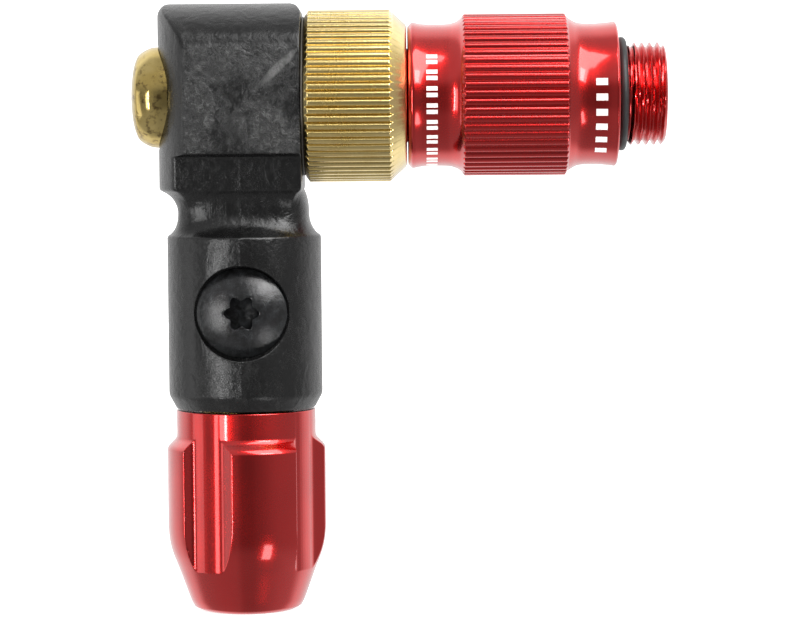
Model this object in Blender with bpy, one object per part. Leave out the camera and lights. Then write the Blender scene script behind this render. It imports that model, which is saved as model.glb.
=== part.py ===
"""Bicycle pump head with a reversible thread-on chuck, as its separate pieces.

+Z runs up the barrel, +X runs along the spindle towards the valve, and -Y is the side
with the lock screw. The origin is the centre of the hose opening, on the bottom face of
the hose nut. Every size below is in millimetres, and meshes are scaled to metres at the end.
Outlines of turned pieces are (radius, place along the axis) points.
"""

import math

import bmesh
import bpy

MM = 0.001

# Fits
GAP = 0.05  # running gap between two turned faces, on the radius
FACE_GAP = 0.1  # gap between two faces that meet end to end

# Roundness
TINY = 12  # sides of a drilled air hole
COARSE = 24  # sides of a small piece
MEDIUM = 36  # sides of a middling piece
FINE = 40  # sides of a large piece
SHARP_ANGLE = math.radians(32)  # edges steeper than this stay sharp

# Elbow body
SPINDLE_HEIGHT = 50.0
CROWN_RADIUS = 9.05  # top of the block, about the spindle axis
BLOCK_HALF_DEPTH = 7.4
BLOCK_FILLET = 3.5  # between the crown and the flat front and back
BLOCK_BOTTOM = 44.45
BLOCK_RIGHT = 5.8
BLOCK_END_RADIUS = 11.0  # the left end is part of an upright cylinder
BLOCK_LEFT = -8.2
BLOCK_CORNER = 1.3  # rounding of the top corners, seen from the front
NECK_HALF_DEPTH = 6.0
LEDGE_DROP = 0.2
NECK_TOP = 41.0  # below this the neck pulls in to its waist
WAIST_HEIGHT = 38.75
WAIST_HALF_WIDTH = 6.33
WAIST_HALF_DEPTH = 5.3
BARREL_TOP = 36.5
BARREL_RADIUS = 7.5
BARREL_CHAMFER_TOP = 21.1
BARREL_BOTTOM = 19.8
BARREL_FOOT_RADIUS = 6.8
BARREL_BORE_RADIUS = 4.2
BARREL_BORE_TOP = 34.4
AIR_WAY_RADIUS = 1.2

# Swivel spindle and what sits on it
SPINDLE_RADIUS = 3.45
SPINDLE_LEFT = -6.6
SPINDLE_RIGHT = 10.0
SPINDLE_BORE_RADIUS = 1.6
SEAT_PLACE = -3.0  # the bleed valve seat
STEM_HOLE_RADIUS = 1.1
SEAL_GROOVE_PLACE = 3.3
SEAL_GROOVE_RADIUS = 2.45
SEAL_GROOVE_WIDTH = 1.3
AIR_GROOVE_RADIUS = 2.9
AIR_GROOVE_WIDTH = 2.4
AIR_HOLE_RADIUS = 0.7
CLIP_THICKNESS = 0.5
CLIP_INNER_RADIUS = 3.0
CLIP_OUTER_RADIUS = 4.7
CLIP_OPENING = math.radians(80)
RING_CORD_RADIUS = 0.5  # section radius of every O-ring inside

# Bleed button
BUTTON_RADIUS = 4.9
BUTTON_TIP = -10.8
BUTTON_CROWN_SAG = 0.27
BUTTON_EDGE = 2.0
BUTTON_MOUTH = -7.4
BUTTON_POCKET_RADIUS = 5.1
BUTTON_POCKET_FLOOR = -5.45
BUTTON_WALL = 0.9
BUTTON_ROOF = 1.5
BUTTON_SKIN = 0.7  # what is left in front of the stem's socket
STEM_RADIUS = 0.8
STEM_HEAD_RADIUS = 1.45
STEM_HEAD_LENGTH = 0.8
POPPET_THICKNESS = 0.5
SPRING_RADIUS = 2.0
SPRING_WIRE = 0.4
SPRING_TURNS = 2.75

# Swivel collar
WASHER_THICKNESS = 0.2
WASHER_RADIUS = 7.7
COLLAR_LEFT = 6.1
COLLAR_RIGHT = 15.95
COLLAR_RADIUS = 8.34
COLLAR_LEFT_BEVEL_DEPTH = 0.54
COLLAR_LEFT_BEVEL_WIDTH = 0.4
COLLAR_RIGHT_BEVEL_DEPTH = 1.49
COLLAR_RIGHT_BEVEL_WIDTH = 1.65
COLLAR_MOUTH_RADIUS = 5.7
COLLAR_MOUTH_DEPTH = 0.95
COLLAR_FLOOR = 10.6
COLLAR_AIR_RADIUS = 2.0

# Flip chuck
THREAD_RADIUS = 5.0
THREAD_CHAMFER = 0.4
CHUCK_LEFT = 11.2
CHUCK_SHOULDER = 16.05
CHUCK_RIGHT = 41.0
CHUCK_RIGHT_SHOULDER = 36.3
CHUCK_THREAD_START = 37.45
CHUCK_KNURL_RADIUS = 7.85
CHUCK_KNURL_LEFT = 21.5
CHUCK_KNURL_RIGHT = 31.3
CHUCK_GROOVE_RADIUS = 4.53
CHUCK_GROOVE_WIDTH = 1.05
CHUCK_MOUTH_CHAMFER = 0.35
CHUCK_RING_RADIUS = 5.05
CHUCK_RING_CORD_RADIUS = 0.48
WIDE_BORE_RADIUS = 3.9
WIDE_BORE_END = 22.1
NARROW_BORE_RADIUS = 2.65
NARROW_SEAL_LEFT = 29.6
NARROW_SEAL_RIGHT = 32.6
NARROW_SEAL_RADIUS = 3.2
NARROW_SEAL_BORE = 1.9
WIDE_SEAL_LEFT = 18.4
WIDE_SEAL_RIGHT = 20.4
WIDE_SEAL_BORE = 2.0
PIN_TIP = 15.5
PIN_RADIUS = 0.8
PIN_FLANGE_THICKNESS = 1.5
PIN_VENT_RADIUS = 0.45
PIN_VENT_CIRCLE = 1.45
PIN_ROOM_DEPTH = 0.7  # air space behind the pin's flange
PIN_ROOM_MARGIN = 0.7  # how far that space reaches past the vents

# Lock screw
SCREW_HEIGHT = 29.25
SCREW_HEAD_RADIUS = 4.35
SCREW_POCKET_RADIUS = 4.55
SCREW_POCKET_FLOOR = 5.5
SCREW_RIM = 6.0
SCREW_TOP = 7.3
SCREW_SHANK_RADIUS = 1.95
SCREW_SHANK_END = 2.15
SCREW_RECESS_RADIUS = 1.75
SCREW_RECESS_DEPTH = 1.3

# Hose barb, ferrule and nut
BARB_TIP = 5.0
BARB_BORE_RADIUS = 1.5
BARB_LOW_RADIUS = 2.4
BARB_HIGH_RADIUS = 2.8
BARB_STEP = 2.0
BARB_COUNT = 3
BARB_THREAD_BOTTOM = 13.6
BARB_PLUG_TOP = 34.2
BARB_RING_HEIGHT = 32.3
BARB_RING_GROOVE_RADIUS = 3.1
FERRULE_BOTTOM = 3.6
FERRULE_TOP = 13.2
FERRULE_RADIUS = 4.7
FERRULE_BORE = 3.95
NUT_TOP = 19.6
NUT_RING_BOTTOM = 16.95  # the plain ring is above this
NUT_BEVEL_BOTTOM = 15.8
NUT_RADIUS = 7.75  # over the raised lands
NUT_CONE_TOP = 8.0
NUT_FOOT_RADIUS = 4.65
NUT_MOUTH_RADIUS = 3.9
NUT_MOUTH_TOP = 2.2
NUT_THREAD_BOTTOM = 4.8
NUT_LANDS = 4
NUT_GROOVE_PLACE = math.radians(61.4)  # from the front, towards +X
NUT_GROOVE_HALF = math.radians(20.2)  # half the groove between two lands
NUT_FLOOR_START = math.radians(-17)  # the floor of a groove, from its middle
NUT_FLOOR_END = math.radians(11)
NUT_SIDES = 80

SPINDLE_LINE = ((0, 0, SPINDLE_HEIGHT), (0, math.pi / 2, 0))
BARREL_LINE = ((0, 0, 0), (0, 0, 0))
SCREW_LINE = ((0, 0, SCREW_HEIGHT), (math.pi / 2, 0, 0))


def clear_scene():
    for old in list(bpy.data.objects):
        bpy.data.objects.remove(old, do_unlink=True)


def make_material(name, colour, roughness, metallic):
    material = bpy.data.materials.new(name)
    material.use_nodes = True
    shader = material.node_tree.nodes["Principled BSDF"]
    shader.inputs["Base Color"].default_value = (*colour, 1)
    shader.inputs["Roughness"].default_value = roughness
    shader.inputs["Metallic"].default_value = metallic
    return material


def make_object(name, bm, material, line):
    """An object from a mesh in millimetres, placed on one of the three lines."""
    bmesh.ops.remove_doubles(bm, verts=bm.verts, dist=1e-5)
    bmesh.ops.recalc_face_normals(bm, faces=bm.faces)
    bmesh.ops.scale(bm, vec=(MM, MM, MM), verts=bm.verts)
    mesh = bpy.data.meshes.new(name)
    bm.to_mesh(mesh)
    bm.free()
    mesh.shade_smooth()
    mesh.set_sharp_from_angle(angle=SHARP_ANGLE)
    thing = bpy.data.objects.new(name, mesh)
    bpy.context.scene.collection.objects.link(thing)
    location, rotation = line
    thing.location = [c * MM for c in location]
    thing.rotation_euler = rotation
    if material:
        mesh.materials.append(material)
    return thing


def make_cutter(name, bm, line):
    cutter = make_object(name, bm, None, line)
    cutter.hide_render = True
    cutter.display_type = "WIRE"
    return cutter


def cut(thing, cutter):
    boolean = thing.modifiers.new(cutter.name, "BOOLEAN")
    boolean.operation = "DIFFERENCE"
    boolean.solver = "EXACT"
    boolean.object = cutter


def turned(outline, sides):
    """A solid of revolution. An outline that starts and ends on the axis is left open there."""
    bm = bmesh.new()
    verts = [bm.verts.new((radius, 0, place)) for radius, place in outline]
    pairs = list(zip(verts, verts[1:]))
    on_axis = outline[0][0] == 0 and outline[-1][0] == 0
    if not on_axis:
        pairs.append((verts[-1], verts[0]))
    edges = [bm.edges.new(pair) for pair in pairs]
    bmesh.ops.spin(
        bm,
        geom=verts + edges,
        cent=(0, 0, 0),
        axis=(0, 0, 1),
        angle=2 * math.pi,
        steps=sides,
        use_merge=True,
    )
    return bm


def skinned(rings, cap_start=True, cap_end=True):
    """A closed skin over rings that all have the same number of points."""
    bm = bmesh.new()
    loops = [[bm.verts.new(point) for point in ring] for ring in rings]
    count = len(loops[0])
    for low, high in zip(loops, loops[1:]):
        for i in range(count):
            j = (i + 1) % count
            bm.faces.new((low[i], low[j], high[j], high[i]))
    if cap_start:
        bm.faces.new(list(reversed(loops[0])))
    if cap_end:
        bm.faces.new(loops[-1])
    return bm


def rod(radius, start, end, sides):
    return turned([(0, start), (radius, start), (radius, end), (0, end)], sides)


def tube(inner, outer, start, end, sides):
    return turned([(inner, start), (outer, start), (outer, end), (inner, end)], sides)


def o_ring(radius, cord_radius, place, sides=COARSE, section=6):
    points = []
    for i in range(section):
        angle = 2 * math.pi * i / section
        points.append((radius + cord_radius * math.cos(angle), place + cord_radius * math.sin(angle)))
    return turned(points, sides)


def arc(centre, radius, start, end, steps):
    """Points of an arc in the outline plane, from one angle to another, both included."""
    points = []
    for i in range(steps + 1):
        angle = start + (end - start) * i / steps
        points.append((centre[0] + radius * math.cos(angle), centre[1] + radius * math.sin(angle)))
    return points


# Elbow body: one skin through level sections, each with a right side, a back, a left end and
# a front that keep the same numbers of points all the way up.

RIGHT_POINTS = 10
SIDE_POINTS = 14
LEFT_POINTS = 10


def left_end(y):
    """Where the upright cylinder of the left end lies at this depth."""
    centre = BLOCK_LEFT + BLOCK_END_RADIUS
    return centre - math.sqrt(BLOCK_END_RADIUS**2 - y**2)


def block_section(half_depth, inset):
    """Flat right side, back and front, and the round left end, pulled in by inset at both ends."""
    right = BLOCK_RIGHT - inset
    left = left_end(half_depth) + inset
    points = []
    for i in range(RIGHT_POINTS):
        points.append((right, half_depth * (2 * i / RIGHT_POINTS - 1)))
    for i in range(SIDE_POINTS):
        points.append((right + (left - right) * i / SIDE_POINTS, half_depth))
    for i in range(LEFT_POINTS):
        y = half_depth * (1 - 2 * i / LEFT_POINTS)
        points.append((left_end(y) + inset, y))
    for i in range(SIDE_POINTS):
        points.append((left + (right - left) * i / SIDE_POINTS, -half_depth))
    return points


def section_angles():
    """The directions of the neck section's points, evenly spread between its four corners."""
    right_corner = math.atan2(NECK_HALF_DEPTH, BLOCK_RIGHT)
    left_corner = math.atan2(NECK_HALF_DEPTH, left_end(NECK_HALF_DEPTH))
    stretches = (
        (-right_corner, right_corner, RIGHT_POINTS),
        (right_corner, left_corner, SIDE_POINTS),
        (left_corner, 2 * math.pi - left_corner, LEFT_POINTS),
        (2 * math.pi - left_corner, 2 * math.pi - right_corner, SIDE_POINTS),
    )
    return [start + (end - start) * i / n for start, end, n in stretches for i in range(n)]


def round_section(radius):
    return [(radius * math.cos(a), radius * math.sin(a)) for a in section_angles()]


def waist_section():
    """A rectangle with generously rounded corners."""
    points = []
    for angle in section_angles():
        across = abs(math.cos(angle) / WAIST_HALF_WIDTH) ** 4
        deep = abs(math.sin(angle) / WAIST_HALF_DEPTH) ** 4
        radius = (across + deep) ** -0.25
        points.append((radius * math.cos(angle), radius * math.sin(angle)))
    return points


def blended(first, second, share):
    return [tuple(a + (b - a) * share for a, b in zip(p, q)) for p, q in zip(first, second)]


def hollow(share, bend=0.93):
    """A concave law from 0 to 1 that leaves 0 along the neck and ends steep."""
    return (1 - math.sqrt(1 - (bend * share) ** 2)) / (1 - math.sqrt(1 - bend**2))


def corner_inset(height):
    """How far the rounded top corners pull the ends in at this height."""
    above = height - (SPINDLE_HEIGHT + CROWN_RADIUS - BLOCK_CORNER)
    if above <= 0:
        return 0
    return BLOCK_CORNER - math.sqrt(max(BLOCK_CORNER**2 - above**2, 0))


def block_side_outline():
    """(half depth, height) points of the block seen from its end, from the ledge to the crown."""
    fillet_y = BLOCK_HALF_DEPTH - BLOCK_FILLET
    reach = CROWN_RADIUS - BLOCK_FILLET
    fillet_z = SPINDLE_HEIGHT + math.sqrt(reach**2 - fillet_y**2)
    meet = math.atan2(fillet_z - SPINDLE_HEIGHT, fillet_y)
    outline = [(BLOCK_HALF_DEPTH, BLOCK_BOTTOM)]
    outline += arc((fillet_y, fillet_z), BLOCK_FILLET, 0, meet, 4)
    crown = arc((0, SPINDLE_HEIGHT), CROWN_RADIUS, meet, math.pi / 2, 8)
    outline += crown[1:-1]
    outline.append((0, SPINDLE_HEIGHT + CROWN_RADIUS))
    return outline


def body_rings():
    barrel = round_section(BARREL_RADIUS)
    waist = waist_section()
    neck = block_section(NECK_HALF_DEPTH, 0)
    levels = [
        (round_section(BARREL_FOOT_RADIUS), BARREL_BOTTOM),
        (barrel, BARREL_CHAMFER_TOP),
        (barrel, BARREL_TOP),
    ]
    steps = 4
    for i in range(1, steps + 1):
        share = 1 - i / steps
        height = WAIST_HEIGHT + (BARREL_TOP - WAIST_HEIGHT) * share
        levels.append((blended(waist, barrel, hollow(share)), height))
    for i in range(1, steps + 1):
        share = i / steps
        height = WAIST_HEIGHT + (NECK_TOP - WAIST_HEIGHT) * share
        levels.append((blended(waist, neck, hollow(share)), height))
    levels.append((neck, BLOCK_BOTTOM - LEDGE_DROP))
    for half_depth, height in block_side_outline():
        levels.append((block_section(half_depth, corner_inset(height)), height))
    return [[(x, y, height) for x, y in section] for section, height in levels]


def make_elbow_body(material):
    body = make_object("elbow_body", skinned(body_rings(), cap_end=False), material, BARREL_LINE)
    beyond = 3
    spindle_bore = rod(SPINDLE_RADIUS + GAP, BUTTON_POCKET_FLOOR - 1, BLOCK_RIGHT + beyond, FINE)
    pocket = rod(BUTTON_POCKET_RADIUS, BLOCK_LEFT - beyond, BUTTON_POCKET_FLOOR, FINE)
    air_way = rod(AIR_WAY_RADIUS, BARREL_BORE_TOP - 1, SPINDLE_HEIGHT, COARSE)
    barrel_bore = rod(BARREL_BORE_RADIUS, BARREL_BOTTOM - beyond, BARREL_BORE_TOP, FINE)
    screw_pocket = rod(SCREW_POCKET_RADIUS, SCREW_POCKET_FLOOR, BARREL_RADIUS + beyond, FINE)
    hole_radius = SCREW_SHANK_RADIUS + 3 * GAP
    screw_hole = rod(hole_radius, BARREL_BORE_RADIUS - 2, SCREW_POCKET_FLOOR + 1, COARSE)
    cut(body, make_cutter("cut_spindle_bore", spindle_bore, SPINDLE_LINE))
    cut(body, make_cutter("cut_button_pocket", pocket, SPINDLE_LINE))
    cut(body, make_cutter("cut_air_way", air_way, BARREL_LINE))
    cut(body, make_cutter("cut_barrel_bore", barrel_bore, BARREL_LINE))
    cut(body, make_cutter("cut_screw_pocket", screw_pocket, SCREW_LINE))
    cut(body, make_cutter("cut_screw_hole", screw_hole, SCREW_LINE))


# Swivel spindle, its seals, clip and washer


def grooved(radius, grooves, start, end):
    """Outline points along a shaft, with (place, width, root radius) grooves in order."""
    points = [(radius, start)]
    for place, width, root in grooves:
        points.append((radius, place - width / 2))
        points.append((root, place - width / 2))
        points.append((root, place + width / 2))
        points.append((radius, place + width / 2))
    points.append((radius, end))
    return points


def clip_place():
    return BUTTON_POCKET_FLOOR - FACE_GAP - CLIP_THICKNESS / 2


def make_swivel_spindle(material):
    chamfer = 0.2
    grooves = (
        (clip_place(), CLIP_THICKNESS + FACE_GAP, CLIP_INNER_RADIUS - GAP),
        (-SEAL_GROOVE_PLACE, SEAL_GROOVE_WIDTH, SEAL_GROOVE_RADIUS),
        (0, AIR_GROOVE_WIDTH, AIR_GROOVE_RADIUS),
        (SEAL_GROOVE_PLACE, SEAL_GROOVE_WIDTH, SEAL_GROOVE_RADIUS),
    )
    outline = [(STEM_HOLE_RADIUS, SPINDLE_LEFT), (SPINDLE_RADIUS - chamfer, SPINDLE_LEFT)]
    outline += grooved(SPINDLE_RADIUS, grooves, SPINDLE_LEFT + chamfer, SPINDLE_RIGHT)
    outline += [
        (SPINDLE_BORE_RADIUS, SPINDLE_RIGHT),
        (SPINDLE_BORE_RADIUS, SEAT_PLACE),
        (STEM_HOLE_RADIUS, SEAT_PLACE),
    ]
    spindle = make_object("swivel_spindle", turned(outline, MEDIUM), material, SPINDLE_LINE)
    reach = SPINDLE_RADIUS + 1
    crossing = (("upright", (0, 0, 0)), ("level", (math.pi / 2, 0, 0)))
    for way, rotation in crossing:
        line = (SPINDLE_LINE[0], rotation)
        hole = rod(AIR_HOLE_RADIUS, -reach, reach, TINY)
        cut(spindle, make_cutter("cut_air_hole_" + way, hole, line))


def make_spindle_o_rings(material):
    radius = SEAL_GROOVE_RADIUS + RING_CORD_RADIUS + GAP / 2
    for side, place in (("left", -SEAL_GROOVE_PLACE), ("right", SEAL_GROOVE_PLACE)):
        ring = o_ring(radius, RING_CORD_RADIUS, place)
        make_object("spindle_o_ring_" + side, ring, material, SPINDLE_LINE)


def make_retaining_clip(material):
    """An open ring, with its opening upwards."""
    steps = 20
    low = clip_place() - CLIP_THICKNESS / 2
    high = low + CLIP_THICKNESS
    rings = []
    for i in range(steps + 1):
        angle = math.pi + CLIP_OPENING / 2 + (2 * math.pi - CLIP_OPENING) * i / steps
        x = math.cos(angle)
        y = math.sin(angle)
        corners = (
            (CLIP_INNER_RADIUS, low),
            (CLIP_OUTER_RADIUS, low),
            (CLIP_OUTER_RADIUS, high),
            (CLIP_INNER_RADIUS, high),
        )
        rings.append([(x * radius, y * radius, place) for radius, place in corners])
    make_object("retaining_clip", skinned(rings), material, SPINDLE_LINE)


def make_thrust_washer(material):
    start = BLOCK_RIGHT + (COLLAR_LEFT - BLOCK_RIGHT - WASHER_THICKNESS) / 2
    washer = tube(SPINDLE_RADIUS + 2 * GAP, WASHER_RADIUS, start, start + WASHER_THICKNESS, FINE)
    make_object("thrust_washer", washer, material, SPINDLE_LINE)


def make_swivel_collar(material):
    thread = THREAD_RADIUS + GAP
    outline = [
        (SPINDLE_RADIUS + GAP, COLLAR_LEFT),
        (COLLAR_RADIUS - COLLAR_LEFT_BEVEL_DEPTH, COLLAR_LEFT),
        (COLLAR_RADIUS, COLLAR_LEFT + COLLAR_LEFT_BEVEL_WIDTH),
        (COLLAR_RADIUS, COLLAR_RIGHT - COLLAR_RIGHT_BEVEL_WIDTH),
        (COLLAR_RADIUS - COLLAR_RIGHT_BEVEL_DEPTH, COLLAR_RIGHT),
        (COLLAR_MOUTH_RADIUS, COLLAR_RIGHT),
        (COLLAR_MOUTH_RADIUS, COLLAR_RIGHT - COLLAR_MOUTH_DEPTH),
        (thread, COLLAR_RIGHT - COLLAR_MOUTH_DEPTH),
        (thread, COLLAR_FLOOR),
        (COLLAR_AIR_RADIUS, COLLAR_FLOOR),
        (COLLAR_AIR_RADIUS, SPINDLE_RIGHT + FACE_GAP),
        (SPINDLE_RADIUS + GAP, SPINDLE_RIGHT + FACE_GAP),
    ]
    make_object("swivel_collar", turned(outline, FINE), material, SPINDLE_LINE)


# Bleed button, stem, seal and spring


def button_roof():
    return BUTTON_TIP + BUTTON_ROOF


def make_bleed_button(material):
    flat = BUTTON_RADIUS - BUTTON_EDGE
    crown = []
    for i in range(4):
        radius = flat * i / 4
        crown.append((radius, BUTTON_TIP + BUTTON_CROWN_SAG * (radius / flat) ** 2))
    edge_centre = BUTTON_TIP + BUTTON_CROWN_SAG + BUTTON_EDGE
    edge = arc((flat, edge_centre), BUTTON_EDGE, -math.pi / 2, 0, 5)
    socket = STEM_RADIUS + GAP
    inside = [
        (BUTTON_RADIUS, BUTTON_MOUTH),
        (BUTTON_RADIUS - BUTTON_WALL, BUTTON_MOUTH),
        (BUTTON_RADIUS - BUTTON_WALL, button_roof()),
        (socket, button_roof()),
        (socket, BUTTON_TIP + BUTTON_SKIN),
        (0, BUTTON_TIP + BUTTON_SKIN),
    ]
    make_object("bleed_button", turned(crown + edge + inside, MEDIUM), material, SPINDLE_LINE)


def make_bleed_stem(material):
    head = SEAT_PLACE + POPPET_THICKNESS + FACE_GAP
    outline = [
        (0, BUTTON_TIP + BUTTON_SKIN + FACE_GAP),
        (STEM_RADIUS, BUTTON_TIP + BUTTON_SKIN + FACE_GAP),
        (STEM_RADIUS, head),
        (STEM_HEAD_RADIUS, head),
        (STEM_HEAD_RADIUS, head + STEM_HEAD_LENGTH),
        (0, head + STEM_HEAD_LENGTH),
    ]
    make_object("bleed_stem", turned(outline, COARSE), material, SPINDLE_LINE)


def make_poppet_seal(material):
    start = SEAT_PLACE + FACE_GAP / 2
    seal = tube(STEM_RADIUS + GAP, STEM_HEAD_RADIUS, start, start + POPPET_THICKNESS, COARSE)
    make_object("poppet_seal", seal, material, SPINDLE_LINE)


def make_bleed_spring(material):
    """A round wire wound between the roof of the button and the end of the spindle."""
    wire = SPRING_WIRE / 2
    start = button_roof() + wire + GAP
    end = SPINDLE_LEFT - wire - GAP
    steps_per_turn = 16
    section = 6
    steps = round(SPRING_TURNS * steps_per_turn)
    rings = []
    for i in range(steps + 1):
        angle = 2 * math.pi * i / steps_per_turn
        middle = start + (end - start) * i / steps
        ring = []
        for j in range(section):
            around = 2 * math.pi * j / section
            radius = SPRING_RADIUS + wire * math.cos(around)
            place = middle + wire * math.sin(around)
            ring.append((radius * math.cos(angle), radius * math.sin(angle), place))
        rings.append(ring)
    make_object("bleed_spring", skinned(rings), material, SPINDLE_LINE)


# Flip chuck and what is in it


def make_flip_chuck(material):
    left_end_outline = [
        (WIDE_BORE_RADIUS, CHUCK_LEFT),
        (THREAD_RADIUS - THREAD_CHAMFER, CHUCK_LEFT),
        (THREAD_RADIUS, CHUCK_LEFT + THREAD_CHAMFER),
        (THREAD_RADIUS, CHUCK_SHOULDER - CHUCK_GROOVE_WIDTH),
        (CHUCK_GROOVE_RADIUS, CHUCK_SHOULDER - CHUCK_GROOVE_WIDTH),
        (CHUCK_GROOVE_RADIUS, CHUCK_SHOULDER),
    ]
    left_waist = [
        (6.75, CHUCK_SHOULDER),
        (7.08, 16.4),
        (6.95, 17.25),
        (6.88, 18.2),
        (6.88, 19.2),
        (6.95, 20.25),
        (7.3, 21.1),
    ]
    grip = [
        (CHUCK_KNURL_RADIUS, CHUCK_KNURL_LEFT),
        (CHUCK_KNURL_RADIUS, CHUCK_KNURL_RIGHT),
    ]
    right_waist = [
        (7.5, 31.5),
        (7.25, 31.85),
        (6.98, 32.4),
        (6.87, 33.0),
        (6.85, 33.9),
        (6.88, 34.8),
        (7.03, 36.0),
        (6.9, CHUCK_RIGHT_SHOULDER),
    ]
    right_end_outline = [
        (CHUCK_GROOVE_RADIUS, CHUCK_RIGHT_SHOULDER),
        (CHUCK_GROOVE_RADIUS, CHUCK_RIGHT_SHOULDER + CHUCK_GROOVE_WIDTH),
        (THREAD_RADIUS, CHUCK_THREAD_START),
        (THREAD_RADIUS, CHUCK_RIGHT - THREAD_CHAMFER),
        (THREAD_RADIUS - THREAD_CHAMFER, CHUCK_RIGHT),
    ]
    seal_room = NARROW_SEAL_RADIUS + GAP
    flange_room = PIN_VENT_CIRCLE + PIN_VENT_RADIUS + PIN_ROOM_MARGIN
    inside = [
        (NARROW_BORE_RADIUS + CHUCK_MOUTH_CHAMFER, CHUCK_RIGHT),
        (NARROW_BORE_RADIUS, CHUCK_RIGHT - CHUCK_MOUTH_CHAMFER),
        (NARROW_BORE_RADIUS, NARROW_SEAL_RIGHT + FACE_GAP),
        (seal_room, NARROW_SEAL_RIGHT + FACE_GAP),
        (seal_room, NARROW_SEAL_LEFT - FACE_GAP),
        (AIR_WAY_RADIUS, NARROW_SEAL_LEFT - FACE_GAP),
        (AIR_WAY_RADIUS, WIDE_BORE_END + PIN_ROOM_DEPTH),
        (flange_room, WIDE_BORE_END + PIN_ROOM_DEPTH),
        (flange_room, WIDE_BORE_END),
        (WIDE_BORE_RADIUS, WIDE_BORE_END),
    ]
    outline = left_end_outline + left_waist + grip + right_waist + right_end_outline + inside
    make_object("flip_chuck", turned(outline, MEDIUM), material, SPINDLE_LINE)


def make_chuck_o_rings(material):
    reach = CHUCK_RING_CORD_RADIUS + GAP / 2
    places = (
        ("inner_chuck_o_ring", CHUCK_SHOULDER - reach),
        ("outer_chuck_o_ring", CHUCK_RIGHT_SHOULDER + reach),
    )
    for name, place in places:
        ring = o_ring(CHUCK_RING_RADIUS, CHUCK_RING_CORD_RADIUS, place, MEDIUM)
        make_object(name, ring, material, SPINDLE_LINE)


def make_chuck_seals(material):
    wide = tube(WIDE_SEAL_BORE, WIDE_BORE_RADIUS - GAP, WIDE_SEAL_LEFT, WIDE_SEAL_RIGHT, COARSE)
    make_object("schrader_seal", wide, material, SPINDLE_LINE)
    narrow = tube(NARROW_SEAL_BORE, NARROW_SEAL_RADIUS, NARROW_SEAL_LEFT, NARROW_SEAL_RIGHT, COARSE)
    make_object("presta_seal", narrow, material, SPINDLE_LINE)


def make_core_pin(material):
    flange_right = WIDE_BORE_END - FACE_GAP
    flange_left = flange_right - PIN_FLANGE_THICKNESS
    outline = [
        (0, PIN_TIP),
        (PIN_RADIUS - 0.2, PIN_TIP),
        (PIN_RADIUS, PIN_TIP + 0.2),
        (PIN_RADIUS, flange_left),
        (WIDE_BORE_RADIUS - GAP, flange_left),
        (WIDE_BORE_RADIUS - GAP, flange_right),
        (0, flange_right),
    ]
    pin = make_object("core_pin", turned(outline, COARSE), material, SPINDLE_LINE)
    for number in range(3):
        angle = 2 * math.pi * (number + 0.1) / 3
        vent = rod(PIN_VENT_RADIUS, flange_left - 1, flange_right + 1, TINY)
        shift = (PIN_VENT_CIRCLE * math.cos(angle), PIN_VENT_CIRCLE * math.sin(angle), 0)
        bmesh.ops.translate(vent, vec=shift, verts=vent.verts)
        cut(pin, make_cutter(f"cut_pin_vent_{number + 1}", vent, SPINDLE_LINE))


# Lock screw


def six_lobe_prism(radius, start, end):
    """A prism with six rounded lobes, along the outline axis."""
    wave = 0.14 * radius
    rings = []
    for place in (start, end):
        ring = []
        for i in range(MEDIUM):
            angle = 2 * math.pi * i / MEDIUM
            reach = radius - wave + wave * math.cos(6 * angle)
            ring.append((reach * math.cos(angle), reach * math.sin(angle), place))
        rings.append(ring)
    return skinned(rings)


def make_lock_screw(material):
    rise = SCREW_TOP - SCREW_RIM
    ball = (SCREW_HEAD_RADIUS**2 + rise**2) / (2 * rise)
    rim_angle = math.asin((ball - rise) / ball)
    dome = arc((0, SCREW_TOP - ball), ball, rim_angle, math.pi / 2, 6)
    tip = 0.3
    outline = [
        (0, SCREW_SHANK_END),
        (SCREW_SHANK_RADIUS - tip, SCREW_SHANK_END),
        (SCREW_SHANK_RADIUS, SCREW_SHANK_END + tip),
        (SCREW_SHANK_RADIUS, SCREW_POCKET_FLOOR + GAP),
        (SCREW_HEAD_RADIUS, SCREW_POCKET_FLOOR + GAP),
    ]
    outline += dome[:-1] + [(0, SCREW_TOP)]
    screw = make_object("lock_screw", turned(outline, MEDIUM), material, SCREW_LINE)
    recess = six_lobe_prism(SCREW_RECESS_RADIUS, SCREW_TOP - SCREW_RECESS_DEPTH, SCREW_TOP + 1)
    cut(screw, make_cutter("cut_screw_recess", recess, SCREW_LINE))


# Hose barb, ferrule and nut


def make_hose_barb(material):
    plug = BARREL_BORE_RADIUS - GAP
    chamfer = 0.3
    outline = [(BARB_BORE_RADIUS, BARB_TIP), (BARB_LOW_RADIUS - 0.4, BARB_TIP)]
    for step in range(1, BARB_COUNT + 1):
        height = BARB_TIP + step * BARB_STEP
        outline.append((BARB_HIGH_RADIUS, height))
        outline.append((BARB_LOW_RADIUS, height))
    thread_top = BARREL_BOTTOM - GAP
    outline += [
        (BARB_LOW_RADIUS, BARB_THREAD_BOTTOM),
        (THREAD_RADIUS - THREAD_CHAMFER, BARB_THREAD_BOTTOM),
        (THREAD_RADIUS, BARB_THREAD_BOTTOM + THREAD_CHAMFER),
        (THREAD_RADIUS, thread_top),
    ]
    groove = ((BARB_RING_HEIGHT, SEAL_GROOVE_WIDTH, BARB_RING_GROOVE_RADIUS),)
    outline += grooved(plug, groove, thread_top, BARB_PLUG_TOP - chamfer)
    outline += [(plug - chamfer, BARB_PLUG_TOP), (BARB_BORE_RADIUS, BARB_PLUG_TOP)]
    barb = make_object("hose_barb", turned(outline, MEDIUM), material, BARREL_LINE)
    hole = rod(SCREW_SHANK_RADIUS + 2 * GAP, SCREW_SHANK_END - FACE_GAP, BARREL_RADIUS, COARSE)
    cut(barb, make_cutter("cut_barb_screw_hole", hole, SCREW_LINE))


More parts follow.
